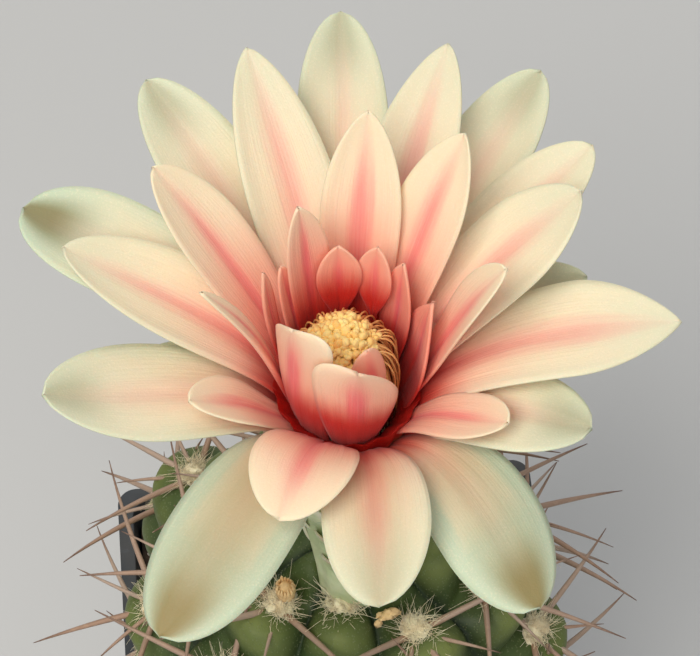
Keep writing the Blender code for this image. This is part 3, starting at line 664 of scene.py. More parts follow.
@dataclass(frozen=True)
class ThreadFinish(Finish):
    """Filaments and style: amber threads, paler towards the tip."""
    foot: Colour = (0.46, 0.13, 0.035)
    tip: Colour = (0.76, 0.40, 0.14)

    def paint(self, graph: Graph, place: NodeSocket, effects: Effects) -> Sockets:
        """From foot to tip, unevenly."""
        patches = graph.use(effects.mottle, Vector=place, Size=900.0)
        along = graph.plus(graph.number("along"), graph.times(patches, 0.3))
        return {"Base Color": graph.blend(graph.ramp(along, 0.1, 1.0), self.foot, self.tip)}


@dataclass(frozen=True)
class PollenFinish(Finish):
    """Ripe anthers, dusty with pollen."""
    light: Colour = (1.0, 0.77, 0.29)
    dark: Colour = (1.0, 0.58, 0.15)
    dust: Colour = (1.0, 0.84, 0.48)

    def paint(self, graph: Graph, place: NodeSocket, effects: Effects) -> Sockets:
        """One tone an anther, with pale dust."""
        dots = graph.use(effects.speckle, Vector=place, Size=6500.0, Share=0.3)
        body = graph.blend(graph.number("tone"), self.light, self.dark)
        return {
            "Base Color": graph.blend(graph.times(dots, 0.35), body, self.dust),
            "Normal": graph.relief(dots, 0.05 * MM, 0.8),
        }


@dataclass(frozen=True)
class FloorFinish(Finish):
    """Plain pale board."""
    colour: Colour = (0.56, 0.56, 0.55)

    def paint(self, graph: Graph, place: NodeSocket, effects: Effects) -> Sockets:
        """One colour with a fine grain."""
        return {
            "Base Color": self.colour,
            "Normal": graph.relief(graph.noise(place, 900.0, 3.0), 0.02 * MM, 0.3),
        }


class Swarm:
    """Many small copies of one template, gathered into one mesh."""

    def __init__(self, template: Object) -> None:
        self.points = [vertex.co.copy() for vertex in template.data.vertices]
        self.faces = [tuple(face.vertices) for face in template.data.polygons]
        self.all_points: list[Vector] = []
        self.all_faces: list[tuple[int, ...]] = []
        self.numbers: dict[str, list[float]] = {}
        bpy.data.objects.remove(template, do_unlink=True)

    def add(self, bend: Bend, **numbers: float | Callable[[Vector], float]) -> None:
        """Adds a copy.

        Args:
            bend: where each point of the template goes.
            numbers: a number for the copy, or for each point of the template, by attribute name.
        """
        start = len(self.all_points)
        self.all_points.extend(bend(point) for point in self.points)
        self.all_faces.extend(tuple(start + index for index in face) for face in self.faces)
        for name, value in numbers.items():
            row = self.numbers.setdefault(name, [])
            row.extend(value(point) if callable(value) else value for point in self.points)

    def finish(self, name: str) -> Object:
        """The gathered copies as one smooth object."""
        mesh = bpy.data.meshes.new(name)
        mesh.from_pydata(self.all_points, [], self.all_faces)
        for title, values in self.numbers.items():
            remember(mesh, title, values)
        thing = bpy.data.objects.new(name, mesh)
        bpy.context.scene.collection.objects.link(thing)
        return smooth(thing)


def ball_template(subdivisions: int) -> Object:
    """A ball of radius 1 with even triangles."""
    return primitive("ico_sphere", "ball", subdivisions=subdivisions, radius=1.0)


def rod_template(sides: int, stretches: int) -> Object:
    """A closed rod of radius 1 from height 0 to 1, cut into stretches."""
    rod = primitive("cylinder", "rod", vertices=sides, radius=1.0, depth=1.0, location=(0.0, 0.0, 0.5))
    settle(rod)
    with editing():
        for i in range(1, stretches):
            bpy.ops.mesh.select_all(action="SELECT")
            bpy.ops.mesh.bisect(plane_co=(0.0, 0.0, i / stretches), plane_no=(0.0, 0.0, 1.0))
    return rod


def any_vector(draw: random.Random) -> Vector:
    """A shift for noise, so that each copy of a template comes out different."""
    return Vector((draw.random(), draw.random(), draw.random())) * 9.0


def along_path(path: Curve, radius: Callable[[float], float]) -> Bend:
    """Bends a rod template along a path.

    Args:
        path: the middle of the rod at a share of its length.
        radius: its radius there.

    Returns:
        The place of a template's point.
    """
    turns: dict[float, tuple[Vector, Matrix, float]] = {}

    def bend(point: Vector) -> Vector:
        share = round(min(1.0, max(0.0, point.z)), 4)
        if share not in turns:
            ahead = path(min(1.0, share + 0.02)) - path(max(0.0, share - 0.02))
            turns[share] = (path(share), ahead.to_track_quat("Z", "Y").to_matrix(), radius(share))
        middle, turn, wide = turns[share]
        return middle + turn @ Vector((point.x * wide, point.y * wide, 0.0))

    return bend


@dataclass(frozen=True)
class StemShape:
    """The ribbed body as a formula, the same as the frame's with a crease over each areole."""
    centre: Vector
    radius: float = 26.0 * MM
    half_height: float = 22.5 * MM
    ribs: int = 9
    first_rib: float = 190.0
    groove_depth: float = 4.2 * MM
    tubercle_rise: float = 2.0 * MM
    tubercle_shift: float = 0.32
    crease_depth: float = 0.8 * MM
    crown_dip: float = 1.5 * MM
    areole_step: float = 26.0
    last_areole: float = 98.0
    fade: tuple[float, float] = (104.0, 126.0)
    first_areoles: tuple[float, ...] = (21.0, 28.0, 45.0, 33.0, 33.0, 24.0, 36.0, 42.0, 33.0)
    swollen_rib: int = 3
    swell: float = 2.6 * MM

    def parts(self, azimuth: float, polar: float) -> tuple[float, float, float]:
        """The shares of ridge and of tubercle at a point, and how far it stands out in metres."""
        turn = (azimuth - self.first_rib) / 360.0 * self.ribs
        rib = round(turn) % self.ribs
        across = turn - round(turn)
        ridge = cos(pi * across) ** 0.6 if abs(across) < 0.499 else 0.0
        around = max(0.0, sin(radians(polar)))
        fade = 1.0 - smooth_step(polar, *self.fade)
        phase = (polar - self.first_areoles[rib]) / self.areole_step
        chin = cos(tau * (phase - self.tubercle_shift)) * smooth_step(polar, 6.0, 24.0)
        groove = -self.groove_depth * (1.0 - ridge) * around ** 0.7 * fade
        crease = -self.crease_depth * bump_at((phase + 0.20) % 1.0, 0.0, 0.10)
        crease -= self.crease_depth * bump_at((phase + 0.20) % 1.0, 1.0, 0.10)
        dip = -self.crown_dip * (1.0 - smooth_step(polar, 0.0, 16.0))
        bulge = (self.tubercle_rise * chin + crease * smooth_step(polar, 14.0, 30.0)) * ridge * fade
        if rib == self.swollen_rib:
            bulge += self.swell * ridge * around * fade
        return ridge, chin, groove + bulge + dip

    def point(self, azimuth: float, polar: float) -> Vector:
        """A point of the surface."""
        rise = self.parts(azimuth, polar)[2]
        level = (self.radius + rise) * max(0.0, sin(radians(polar)))
        height = (self.half_height + rise) * cos(radians(polar))
        return self.centre + compass(azimuth) * level + UP * height

    def frame(self, azimuth: float, polar: float) -> tuple[Vector, Vector, Vector, Vector]:
        """A point of the surface with its outward, downward and sideways directions."""
        step = 2.0
        down = (self.point(azimuth, polar + step) - self.point(azimuth, polar - step)).normalized()
        side = Vector((cos(radians(azimuth)), -sin(radians(azimuth)), 0.0))
        plain = (self.point(azimuth, polar) - self.centre).normalized()
        outward = side.cross(down).normalized()
        if outward.dot(plain) < 0.0:
            outward = -outward
        outward = (outward + plain).normalized()
        down = (down - outward * down.dot(outward)).normalized()
        return self.point(azimuth, polar), outward, down, side

    def areoles(self) -> Iterable[tuple[int, float, float]]:
        """The rib, compass angle and polar angle of every areole."""
        for rib, polar in enumerate(self.first_areoles):
            while polar <= self.last_areole:
                yield rib, self.first_rib + rib * 360.0 / self.ribs, polar
                polar += self.areole_step


@dataclass(frozen=True)
class TubeShape:
    """The floral tube, in millimetres above the mouth of the throat."""
    mouth: Vector
    foot: Vector
    bend_height: float = -31.5
    profile: tuple[tuple[float, float], ...] = (
        (-37.5, 4.0), (-35.0, 4.0), (-31.0, 4.3), (-25.0, 5.2), (-18.0, 6.0), (-12.5, 6.9), (-9.0, 7.9))

    def centre(self, height: float) -> Vector:
        """The mouth, moved level to the middle of the tube at a height in metres."""
        share = min(1.0, max(0.0, height / (self.bend_height * MM)))
        lean = (self.foot - self.mouth) * share ** 1.5
        return self.mouth + Vector((lean.x, lean.y, 0.0))

    def radius(self, height: float) -> float:
        """The radius at a height in metres."""
        for (low, wide_low), (high, wide_high) in zip(self.profile, self.profile[1:]):
            if height <= high * MM:
                share = max(0.0, (height / MM - low) / (high - low))
                return (wide_low + (wide_high - wide_low) * share) * MM
        return self.profile[-1][1] * MM

    def near(self, point: Vector, clear: float) -> bool:
        """Whether a point lies closer to the tube than clear."""
        height = point.z - self.mouth.z
        away = point - self.centre(height)
        return Vector((away.x, away.y)).length < self.radius(height) + clear


@dataclass(frozen=True)
class Whorl:
    """A ring of blades in millimetres and degrees: their start, how they leave it and how they end."""
    base_radius: float
    base_height: float
    base_arch: float
    base_lean: float
    tip_arch: float
    tip_lean: float


@dataclass(frozen=True)
class Cut:
    """The steps along and across a blade, and its thickness at the midrib in metres."""
    rows: int
    columns: int
    thickness: float


@dataclass(frozen=True)
class Tint:
    """How a blade is coloured, in shares from 0 to 1. Green goes up to 2, with a tan tip above a half."""
    flush: float = 0.4
    green: float = 0.0
    band: float = 0.6
    # depth: how far up the dark red foot runs, the real red with painted shade deep in the funnel.
    depth: float = 0.3
    # Painted shade with a tan midrib tone over the middle of a drooping blade.
    dim: float = 0.0


@dataclass(frozen=True)
class Blade:
    """A tepal or a scale, in millimetres and degrees. Leans are taken from the vertical."""
    azimuth: float
    reach: float
    rise: float
    width: float
    point: float = 0.3
    cup: float = 0.5
    widest: float = 0.66
    base_lean: float | None = None
    tip_lean: float | None = None
    sway: float = 0.0
    neck: float = 0.42
    claw: float = 0.0
    skew: float = 0.0
    # depth: the blade's own reach of the dark red foot, the real red with painted shade, set by how deep in
    # shade its base lies.
    depth: float | None = None
    tint: Tint | None = None

    TIP_CROWDING = 1.25
    MARGIN_SHARE = 0.15

    def half_width(self, share: float) -> float:
        """Half the width at a share of the length, as a share of the widest."""
        if share < self.widest:
            swell = max(0.0, share - self.claw) / (self.widest - self.claw)
            return self.neck + (1.0 - self.neck) * sin(pi / 2.0 * swell) ** 1.3
        past = (share - self.widest) / (1.0 - self.widest)
        fall = max(0.0, 1.0 - past ** (2.2 - 0.4 * self.point))
        return fall ** (1.0 / (2.0 - 0.9 * self.point))

    def surface(self, whorl: Whorl, axis: Curve, along: float, across: float) -> Vector:
        """A point of the blade in metres.

        Args:
            whorl: the ring that the blade belongs to.
            axis: the middle of the flower at a height above its mouth.
            along: from 0 at the base to 1 at the tip.
            across: from -1 to 1.

        Returns:
            The point on the middle sheet of the blade.
        """
        base_lean = radians(whorl.base_lean if self.base_lean is None else self.base_lean)
        tip_lean = radians(whorl.tip_lean if self.tip_lean is None else self.tip_lean)
        base = Vector((whorl.base_radius, whorl.base_height))
        tip = Vector((self.reach, self.rise))
        leave = base + whorl.base_arch * Vector((sin(base_lean), cos(base_lean)))
        arrive = tip - whorl.tip_arch * Vector((sin(tip_lean), cos(tip_lean)))
        rest = 1.0 - along
        middle = base * rest ** 3 + leave * 3.0 * along * rest ** 2
        middle += arrive * 3.0 * along ** 2 * rest + tip * along ** 3
        slope = (leave - base) * rest ** 2 + (arrive - leave) * 2.0 * along * rest
        slope = (slope + (tip - arrive) * along ** 2).normalized()
        azimuth = self.azimuth + self.sway * along * along
        out = compass(azimuth)
        side = compass(azimuth + 90.0)
        face = UP * slope.x - out * slope.y
        half = self.width / 2.0 * self.half_width(along)
        bend = self.cup * across
        offset = side * half * sin(bend) / self.cup + face * half * (1.0 - cos(bend)) / self.cup
        offset += face * self.fold(along, across)
        offset -= (out * slope.x + UP * slope.y) * self.skew * across * self.half_width(along) * along
        return axis(middle.y * MM) + (out * middle.x + UP * middle.y + offset) * MM

    def fold(self, along: float, across: float) -> float:
        """Shallow relief of the blade in millimetres: midrib channel, pleats and a waved margin."""
        size = min(1.0, self.width / 10.0)
        channel = -0.22 * bump_at(across, 0.0, 0.13) * sin(pi * along) ** 0.5
        pleats = 0.05 * cos(across * 15.0 + self.azimuth) * (1.0 - along ** 4)
        other_side = 2.0 if across > 0.0 else 0.0
        wave = 0.28 * across * across * sin(7.0 * along + self.azimuth * 0.7 + other_side)
        nod = 0.35 * sin(5.0 * along + self.azimuth) * along * (1.0 - along)
        return size * (channel + pleats + wave * along + nod)

    def build(self, name: str, whorl: Whorl, axis: Curve, cut: Cut) -> Object:
        """The blade as a closed sheet that thins towards its margins.

        Args:
            name: the object's name.
            whorl: the ring that the blade belongs to.
            axis: the middle of the flower at a height above its mouth.
            cut: its steps and thickness.

        Returns:
            The blade, with its tint stored in its mesh.
        """
        sheet = primitive("grid", name, x_subdivisions=cut.columns, y_subdivisions=cut.rows, size=2.0,
                          calc_uvs=True)
        group = sheet.vertex_groups.new(name="thick")
        for vertex in sheet.data.vertices:
            across = vertex.co.x
            along = 1.0 - max(0.0, 0.5 - vertex.co.y / 2.0) ** self.TIP_CROWDING
            weight = (1.0 - 0.85 * across ** 4) * (1.0 - 0.6 * along ** 3)
            group.add([vertex.index], weight, "REPLACE")
            vertex.co = self.surface(whorl, axis, along, across)
        for loop in sheet.data.uv_layers[0].data:
            loop.uv.y = 1.0 - max(0.0, 1.0 - loop.uv.y) ** self.TIP_CROWDING
        count = len(sheet.data.vertices)
        apply_modifier(sheet, "SOLIDIFY", thickness=cut.thickness, offset=0.0, vertex_group="thick",
                       thickness_vertex_group=self.MARGIN_SHARE)
        all_points = len(sheet.data.vertices)
        remember(sheet.data, "underside", [float(i >= count) for i in range(all_points)])
        numbers = asdict(self.tint or Tint()) | {"seed": self.azimuth, "scale": 1.0}
        if self.depth is not None:
            numbers["depth"] = self.depth
        for title, value in numbers.items():
            remember(sheet.data, title, [value] * all_points)
        sheet.vertex_groups.clear()
        return sheet


class Layer(Enum):
    """The rings of tepals, from the outside in."""
    OUTER = "tepals_outer"
    SECOND = "tepals_second"
    THIRD = "tepals_third"
    HEART = "tepals_heart"


@dataclass
class Bloom:
    """All tepals and the throat that they stand on."""
    mouth: Vector
    cut: Cut = Cut(36, 14, 0.75 * MM)
    segments: int = 72
    ridges: int = 18
    ridge_depth: float = 0.18 * MM
    whorls: dict[Layer, Whorl] = field(default_factory=lambda: {
        Layer.OUTER: Whorl(6.5, -7.9, 13.0, 14.0, 14.0, 78.0),
        Layer.SECOND: Whorl(5.9, -7.6, 13.0, 12.0, 13.0, 66.0),
        Layer.THIRD: Whorl(5.3, -7.4, 12.0, 10.0, 10.0, 50.0),
        Layer.HEART: Whorl(4.8, -8.0, 8.0, 12.0, 5.0, 12.0),
    })
    tints: dict[Layer, Tint] = field(default_factory=lambda: {
        Layer.OUTER: Tint(0.10, 0.75, 0.20, 0.26),
        Layer.SECOND: Tint(0.33, 0.48, 0.44, 0.30),
        Layer.THIRD: Tint(0.60, 0.05, 0.60, 0.34),
        Layer.HEART: Tint(1.0, 0.0, 0.80, 0.56),
    })
    collar_outside: tuple[tuple[float, float], ...] = ((-13.0, 4.6), (-9.0, 6.6), (-5.0, 7.4), (-2.0, 8.0))
    collar_inside: tuple[tuple[float, float], ...] = ((-5.0, 6.0), (-9.0, 4.6), (-11.0, 3.6))

    def blades(self) -> dict[Layer, tuple[Blade, ...]]:
        """Every tepal: compass angle, reach from the axis, rise above the mouth, and width."""
        pale = Tint(0.0, 1.0, 0.14, 0.24)
        # The last number of left, right and front is painted shade with a tan midrib tone on the drooping
        # front blades.
        left = Tint(0.0, 2.0, 0.10, 0.24, 0.62)
        right = Tint(0.0, 2.0, 0.10, 0.24, 0.42)
        front = Tint(0.30, 0.62, 0.44, 0.32, 0.36)
        rosy = Tint(0.52, 0.0, 0.85, 0.52)
        low = Tint(0.42, 0.05, 0.58, 0.24)
        return {
            Layer.OUTER: (
                Blade(4, 40.0, 12.0, 10.6, point=0.2, tip_lean=70),
                Blade(329, 37.5, 12.0, 11.0, tip_lean=70),
                Blade(38, 39.5, 10.0, 10.5, tip_lean=70),
                Blade(299, 38.3, 8.5, 12.5, point=0.0, cup=0.4, widest=0.75, tip_lean=80, tint=pale),
                Blade(260, 32.5, 9.0, 12.5, point=0.1, cup=0.3, base_lean=24, tip_lean=60),
                Blade(268, 26.0, 2.5, 10.0, cup=0.2, base_lean=42, tip_lean=85),
                Blade(218, 35.3, -4.0, 13.2, point=0.0, cup=-0.3, widest=0.7, tip_lean=105, tint=left),
                Blade(141, 33.0, -4.0, 12.5, point=0.0, cup=-0.3, widest=0.72, base_lean=34, tip_lean=105,
                      sway=7, tint=right),
                Blade(115, 27.2, 3.5, 10.5, point=0.0, cup=0.2, widest=0.75, base_lean=44, tip_lean=85),
                Blade(74, 27.8, 3.5, 10.5, cup=0.3, base_lean=36, tip_lean=85),
            ),
            Layer.SECOND: (
                Blade(346, 33.5, 16.0, 10.5, point=0.6, widest=0.58, tip_lean=62),
                Blade(24, 34.0, 16.0, 10.0, point=0.6, widest=0.6, tip_lean=62),
                Blade(57, 33.5, 13.0, 9.5, widest=0.7, tip_lean=62),
                Blade(290, 31.0, 12.0, 11.0, widest=0.62, base_lean=20, tip_lean=62),
                Blade(93, 35.2, 8.0, 12.0, point=0.9, cup=0.3, widest=0.7, base_lean=24, tip_lean=85),
                Blade(174, 28.9, 1.0, 11.4, point=0.0, cup=0.1, widest=0.7, base_lean=28, tip_lean=100,
                      sway=4.5, tint=front),
                Blade(69, 27.3, 16.5, 10.5, cup=0.3, widest=0.72, base_lean=24, tip_lean=55),
            ),
            Layer.THIRD: (
                Blade(12, 18.5, 22.0, 9.0, point=0.6, widest=0.62, tip_lean=30, depth=0.42),
                Blade(43, 20.0, 21.5, 8.5, point=0.6, base_lean=16, tip_lean=35, depth=0.38),
                Blade(309, 24.5, 18.5, 8.8, point=0.4, base_lean=24, tip_lean=45, depth=0.28),
                Blade(92, 16.3, 18.4, 6.2, widest=0.7, base_lean=26, tip_lean=30),
                Blade(247, 18.5, 8.2, 7.2, point=0.2, cup=0.4, widest=0.7, base_lean=36, tip_lean=50,
                      tint=Tint(0.12, 0.10, 0.55, 0.18)),
                Blade(269, 15.0, 17.8, 2.6, cup=0.5, base_lean=16, tip_lean=35),
                Blade(126, 19.5, 6.0, 6.7, point=0.0, cup=0.3, widest=0.75, base_lean=34, tip_lean=55,
                      tint=low),
                Blade(203, 22.5, 6.0, 11.0, point=0.1, cup=0.2, base_lean=28, tip_lean=90, depth=0.32,
                      tint=low),
            ),
            Layer.HEART: (
                Blade(331, 9.0, 20.0, 5.6, point=0.8, cup=0.6, widest=0.62, neck=0.3, tip_lean=10,
                      depth=0.58),
                Blade(357, 6.8, 14.0, 5.2, point=0.7, cup=0.6, widest=0.74, neck=0.14, claw=0.38, tip_lean=5,
                      depth=0.78),
                Blade(31, 7.3, 14.0, 4.4, point=0.7, cup=0.6, widest=0.72, neck=0.12, claw=0.42, tip_lean=5,
                      depth=0.74),
                Blade(53, 8.0, 12.7, 4.6, point=0.8, cup=0.6, widest=0.55, neck=0.3, base_lean=20,
                      tip_lean=2),
                Blade(86, 9.1, 11.4, 7.6, point=1.3, cup=0.3, widest=0.48, neck=0.6, base_lean=30,
                      tip_lean=12),
                Blade(297, 9.4, 13.8, 2.4, point=0.8, cup=0.6, base_lean=28, tip_lean=0),
                Blade(311, 8.6, 12.6, 3.2, point=0.4, cup=0.6, tip_lean=8),
                Blade(236, 7.0, 15.0, 9.6, point=0.0, cup=0.5, widest=0.77, neck=0.6, base_lean=20,
                      tip_lean=0, skew=3.3, tint=rosy),
                Blade(178, 8.4, 12.9, 9.5, point=0.5, cup=0.6, widest=0.74, neck=0.4, base_lean=28,
                      tip_lean=10, skew=-3.4, tint=Tint(0.55, 0.0, 0.80, 0.62)),
                Blade(155, 4.1, 9.9, 4.5, point=0.2, cup=0.6, tip_lean=-10, tint=rosy),
            ),
        }

    def build_layer(self, layer: Layer, blades: Sequence[Blade], material: Material) -> Object:
        """One ring of tepals as a piece."""
        things = []
        for index, blade in enumerate(blades):
            tinted = replace(blade, tint=blade.tint or self.tints[layer])
            name = f"{layer.value}_{index}"
            things.append(tinted.build(name, self.whorls[layer], lambda height: self.mouth, self.cut))
        return hand_over(smooth(weld(join(things, layer.value))), material, "tepal_tissue", "tepals")

    def build_throat(self, material: Material) -> Object:
        """The cup at the foot of the tepals, ridged inside."""
        outline = [(radius, height) for height, radius in self.collar_inside[::-1]]
        outline += [(radius, height) for height, radius in self.collar_outside[::-1]]
        floor = self.collar_inside[-1][0]
        outline = [(0.0, floor)] + outline + [(0.0, self.collar_outside[0][0])]
        throat = turned("throat", [(radius * MM, height * MM) for radius, height in outline], self.segments)
        outside = []
        for vertex in throat.data.vertices:
            out = Vector((vertex.co.x, vertex.co.y, 0.0))
            angle = atan2(out.y, out.x)
            outer = out.length > 0.5 * MM and vertex.co.z < -5.5 * MM and self.is_outside(vertex.co)
            if out.length > 2.0 * MM:
                vertex.co += out.normalized() * self.ridge_depth * cos(self.ridges * angle)
            outside.append(1.0 if outer else 0.0)
            vertex.co += self.mouth
        remember(throat.data, "outside", outside)
        return hand_over(smooth(throat, 60.0), material, "tepal_tissue", "tepals")

    def is_outside(self, point: Vector) -> bool:
        """Whether a point of the throat is on its outer face."""
        height = point.z / MM
        wide = Vector((point.x, point.y)).length / MM
        for (low, radius_low), (high, radius_high) in zip(self.collar_outside, self.collar_outside[1:]):
            if low - 0.01 <= height <= high + 0.01:
                share = (height - low) / (high - low)
                return wide > radius_low + (radius_high - radius_low) * share - 0.3
        return False

    def build(self, tissue: Material, lining: Material) -> None:
        """Builds the throat and the four rings."""
        self.build_throat(lining)
        for layer, blades in self.blades().items():
            self.build_layer(layer, blades, tissue)


def turned(name: str, outline: Sequence[tuple[float, float]], segments: int) -> Object:
    """A closed body turned round Z by the spin operator.

    Args:
        name: the object's name.
        outline: radius and height of each point, with both ends on the axis.
        segments: steps round the axis.

    Returns:
        The body, with its points welded and its faces outwards.
    """
    body = primitive("plane", name, size=1.0)
    mesh = body.data
    mesh.clear_geometry()
    mesh.from_pydata([(radius, 0.0, height) for radius, height in outline],
                     [(i, i + 1) for i in range(len(outline) - 1)], [])
    with editing():
        bpy.ops.mesh.spin(steps=segments, angle=tau, center=(0.0, 0.0, 0.0), axis=(0.0, 0.0, 1.0))
    return weld(body)


def raise_ring(rise: float, share: float, height: float) -> None:
    """Extrudes what is selected.

    Args:
        rise: how far up, in metres.
        share: the new width as a share of the old.
        height: where that leaves it.
    """
    bpy.ops.mesh.extrude_region_move(TRANSFORM_OT_translate={"value": (0.0, 0.0, rise)})
    bpy.ops.transform.resize(value=(share, share, 1.0), center_override=(0.0, 0.0, height))


@dataclass
class Pot:
    """Square plastic pot: tapered wall, stepped collar, rounded rim and four drains."""
    low: Vector
    high: Vector
    base: float = 41.0 * MM
    wall: float = 1.1 * MM
    floor: float = 1.5 * MM
    corner: float = 1.8 * MM
    collar_height: float = 7.0 * MM
    collar_step: float = 0.9 * MM
    drain_radius: float = 2.5 * MM
    drain_place: float = 12.0 * MM
    edge: float = 0.35 * MM
    sharp: float = 40.0

    def outline(self) -> list[tuple[float, float]]:
        """Width and height of each ring, up the outside and down the inside."""
        width = self.high.x - self.low.x
        top = self.high.z
        wall_top = width - 2.0 * self.collar_step
        collar_low = top - self.collar_height
        slope = (wall_top - self.base) / top
        return [
            (self.base + slope * collar_low, collar_low),
            (width - self.collar_step, collar_low),
            (width, top),
            (wall_top - 2.0 * self.wall, top),
            (self.base + slope * self.floor - 2.0 * self.wall, self.floor),
        ]

    def build(self, material: Material) -> Object:
        """Raises the pot ring by ring from its floor."""
        pot = primitive("plane", "pot_shell", size=self.base)
        with editing():
            bpy.ops.mesh.bevel(offset=self.corner, segments=8, affect="VERTICES")
            bpy.ops.mesh.select_all(action="SELECT")
            width, height = self.base, 0.0
            for next_width, next_height in self.outline():
                raise_ring(next_height - height, next_width / width, next_height)
                width, height = next_width, next_height
        weld(pot)
        for side in (-1, 1):
            for end in (-1, 1):
                place = (side * self.drain_place, end * self.drain_place, self.floor / 2.0)
                drain = primitive("cylinder", "drain", vertices=32, radius=self.drain_radius,
                                  depth=4.0 * self.floor, location=place)
                apply_modifier(pot, "BOOLEAN", object=drain, operation="DIFFERENCE", solver="EXACT")
                bpy.data.objects.remove(drain, do_unlink=True)
        apply_modifier(pot, "BEVEL", width=self.edge, segments=3, limit_method="ANGLE",
                       angle_limit=radians(self.sharp))
        return hand_over(smooth(pot, self.sharp), material, "pot_plastic", "pot")


@dataclass
class Soil:
    """Gritty mix: a crumbly block and the grains that lie on it."""
    stem: StemShape
    width_top: float = 49.4 * MM
    width_low: float = 38.9 * MM
    top: float = 46.0 * MM
    low: float = 1.8 * MM
    relief: float = 0.8 * MM
    cells: int = 90
    grains: int = 1500
    open_share: float = 0.74
    coarse_share: float = 0.12
    seed: int = 23

    def height(self, x: float, y: float) -> float:
        """The surface, with a hollow under the stem."""
        coarse = sin(x / (2.1 * MM) + 1.3) * cos(y / (1.7 * MM))
        fine = sin(x / (0.9 * MM) + y / (1.3 * MM) + 0.7)
        crumbs = noise.noise(Vector((x, y, 0.0)) / (0.8 * MM))
        surface = self.top + self.relief * (0.5 * coarse + 0.3 * fine + 0.5 * crumbs)
        away = Vector((x - self.stem.centre.x, y - self.stem.centre.y)).length / self.stem.radius
        if away < 0.98:
            belly = self.stem.centre.z - self.stem.half_height * sqrt(1.0 - away * away)
            surface = min(surface, belly - 0.3 * MM)
        return surface

    def build(self, mix: Material, grit: Material) -> None:
        """Builds the block and scatters the grains."""
        block = primitive("grid", "soil_mix", x_subdivisions=self.cells, y_subdivisions=self.cells,
                          size=self.width_top, location=(0.0, 0.0, self.top))
        settle(block)
        with editing():
            raise_ring(self.low - self.top, self.width_low / self.width_top, self.low)
        for vertex in block.data.vertices:
            if vertex.co.z > self.top - MERGE:
                vertex.co.z = self.height(vertex.co.x, vertex.co.y)
        hand_over(smooth(weld(block), 50.0), mix, "soil_grit", "soil")
        self.scatter(grit)

    def scatter(self, grit: Material) -> Object:
        """Grains of many sizes and tones over the open surface."""
        draw = random.Random(self.seed)
        swarm = Swarm(ball_template(1))
        half = self.width_top / 2.0 - 0.9 * MM
        while len(swarm.all_points) < self.grains * len(swarm.points):
            x = draw.uniform(-half, half)
            y = draw.uniform(-half, half)
            out = Vector((x - self.stem.centre.x, y - self.stem.centre.y)).length
            size = draw.uniform(0.25, 0.6) * MM * (1.9 if draw.random() < self.coarse_share else 1.0)
            if out < self.stem.radius * self.open_share:
                continue
            angle = draw.uniform(0.0, tau)
            turn = Matrix.Rotation(angle, 3, Vector((draw.random(), draw.random(), 0.4)))
            shape = Matrix.Diagonal((draw.uniform(0.8, 1.3), draw.uniform(0.7, 1.1), 0.8)) * size
            spot = Vector((x, y, self.height(x, y) + size * 0.25))
            warp = any_vector(draw)
            ragged = lambda point: 1.0 + 0.3 * noise.noise(point * 1.4 + warp)
            swarm.add(lambda point: spot + turn @ (shape @ (point * ragged(point))), tone=draw.random())
        thing = swarm.finish("soil_grains")
        thing.data.shade_flat()
        return hand_over(thing, grit, "soil_grit")


@dataclass
class Spines:
    """Spines of every areole: the frame's four with shorter ones between them."""
    stem: StemShape
    tube: TubeShape
    seed: int = 11
    fan: tuple[tuple[float, float], ...] = ((6.0, 16.5), (84.0, 18.5), (-82.0, 17.5), (166.0, 13.0))
    extra: tuple[tuple[float, float], ...] = ((42.0, 12.5), (-38.0, 11.0))
    lift: float = 30.0
    curve: float = 0.12
    spread: float = 0.6 * MM
    sunk: float = 0.6 * MM
    base: float = 0.42 * MM
    tip: float = 0.05 * MM
    bulb: float = 0.16 * MM
    floor: float = 52.5 * MM
    clear: float = 4.0 * MM
    turn_jitter: float = 9.0
    lift_jitter: float = 8.0
    length_jitter: float = 2.0
    extra_size: float = 0.72

    def path(self, foot: Vector, heading: Vector, inward: Vector, length: float) -> Curve:
        """The middle of a spine that bends slightly back to the body."""
        def middle(share: float) -> Vector:
            point = foot + heading * length * share + inward * length * self.curve * share * share
            point.z = max(point.z, self.floor)
            return point
        return middle

    def thickness(self, size: float) -> Callable[[float], float]:
        """The radius along a spine, swollen at its foot."""
        def radius(share: float) -> float:
            plain = self.base + (self.tip - self.base) * share ** 1.7
            return size * (plain + self.bulb * bump_at(share, 0.0, 0.06))
        return radius

    def build(self, material: Material) -> Object:
        """Grows the spines of all areoles."""
        swarm = Swarm(rod_template(6, 10))
        draw = random.Random(self.seed)
        thin = random.Random(self.seed + 1)
        for _, azimuth, polar in self.stem.areoles():
            foot, outward, down, side = self.stem.frame(azimuth, polar)
            for index, (angle, length) in enumerate(self.fan + self.extra):
                source, size = (draw, 1.0) if index < len(self.fan) else (thin, self.extra_size)
                turn = radians(angle + source.uniform(-self.turn_jitter, self.turn_jitter))
                lift = radians(self.lift + source.uniform(-self.lift_jitter, self.lift_jitter))
                length += source.uniform(-self.length_jitter, self.length_jitter)
                level = down * cos(turn) + side * sin(turn)
                heading = level * cos(lift) + outward * sin(lift)
                start = foot + level * self.spread - outward * self.sunk
                middle = self.path(start, heading, -outward, length * MM)
                if any(self.tube.near(middle(share), self.clear) for share in (0.0, 0.5, 1.0)):
                    continue
                swarm.add(along_path(middle, self.thickness(size)), along=lambda point: point.z,
                          tone=thin.random())
        return hand_over(swarm.finish("spines"), material, "stem_skin", "stem")


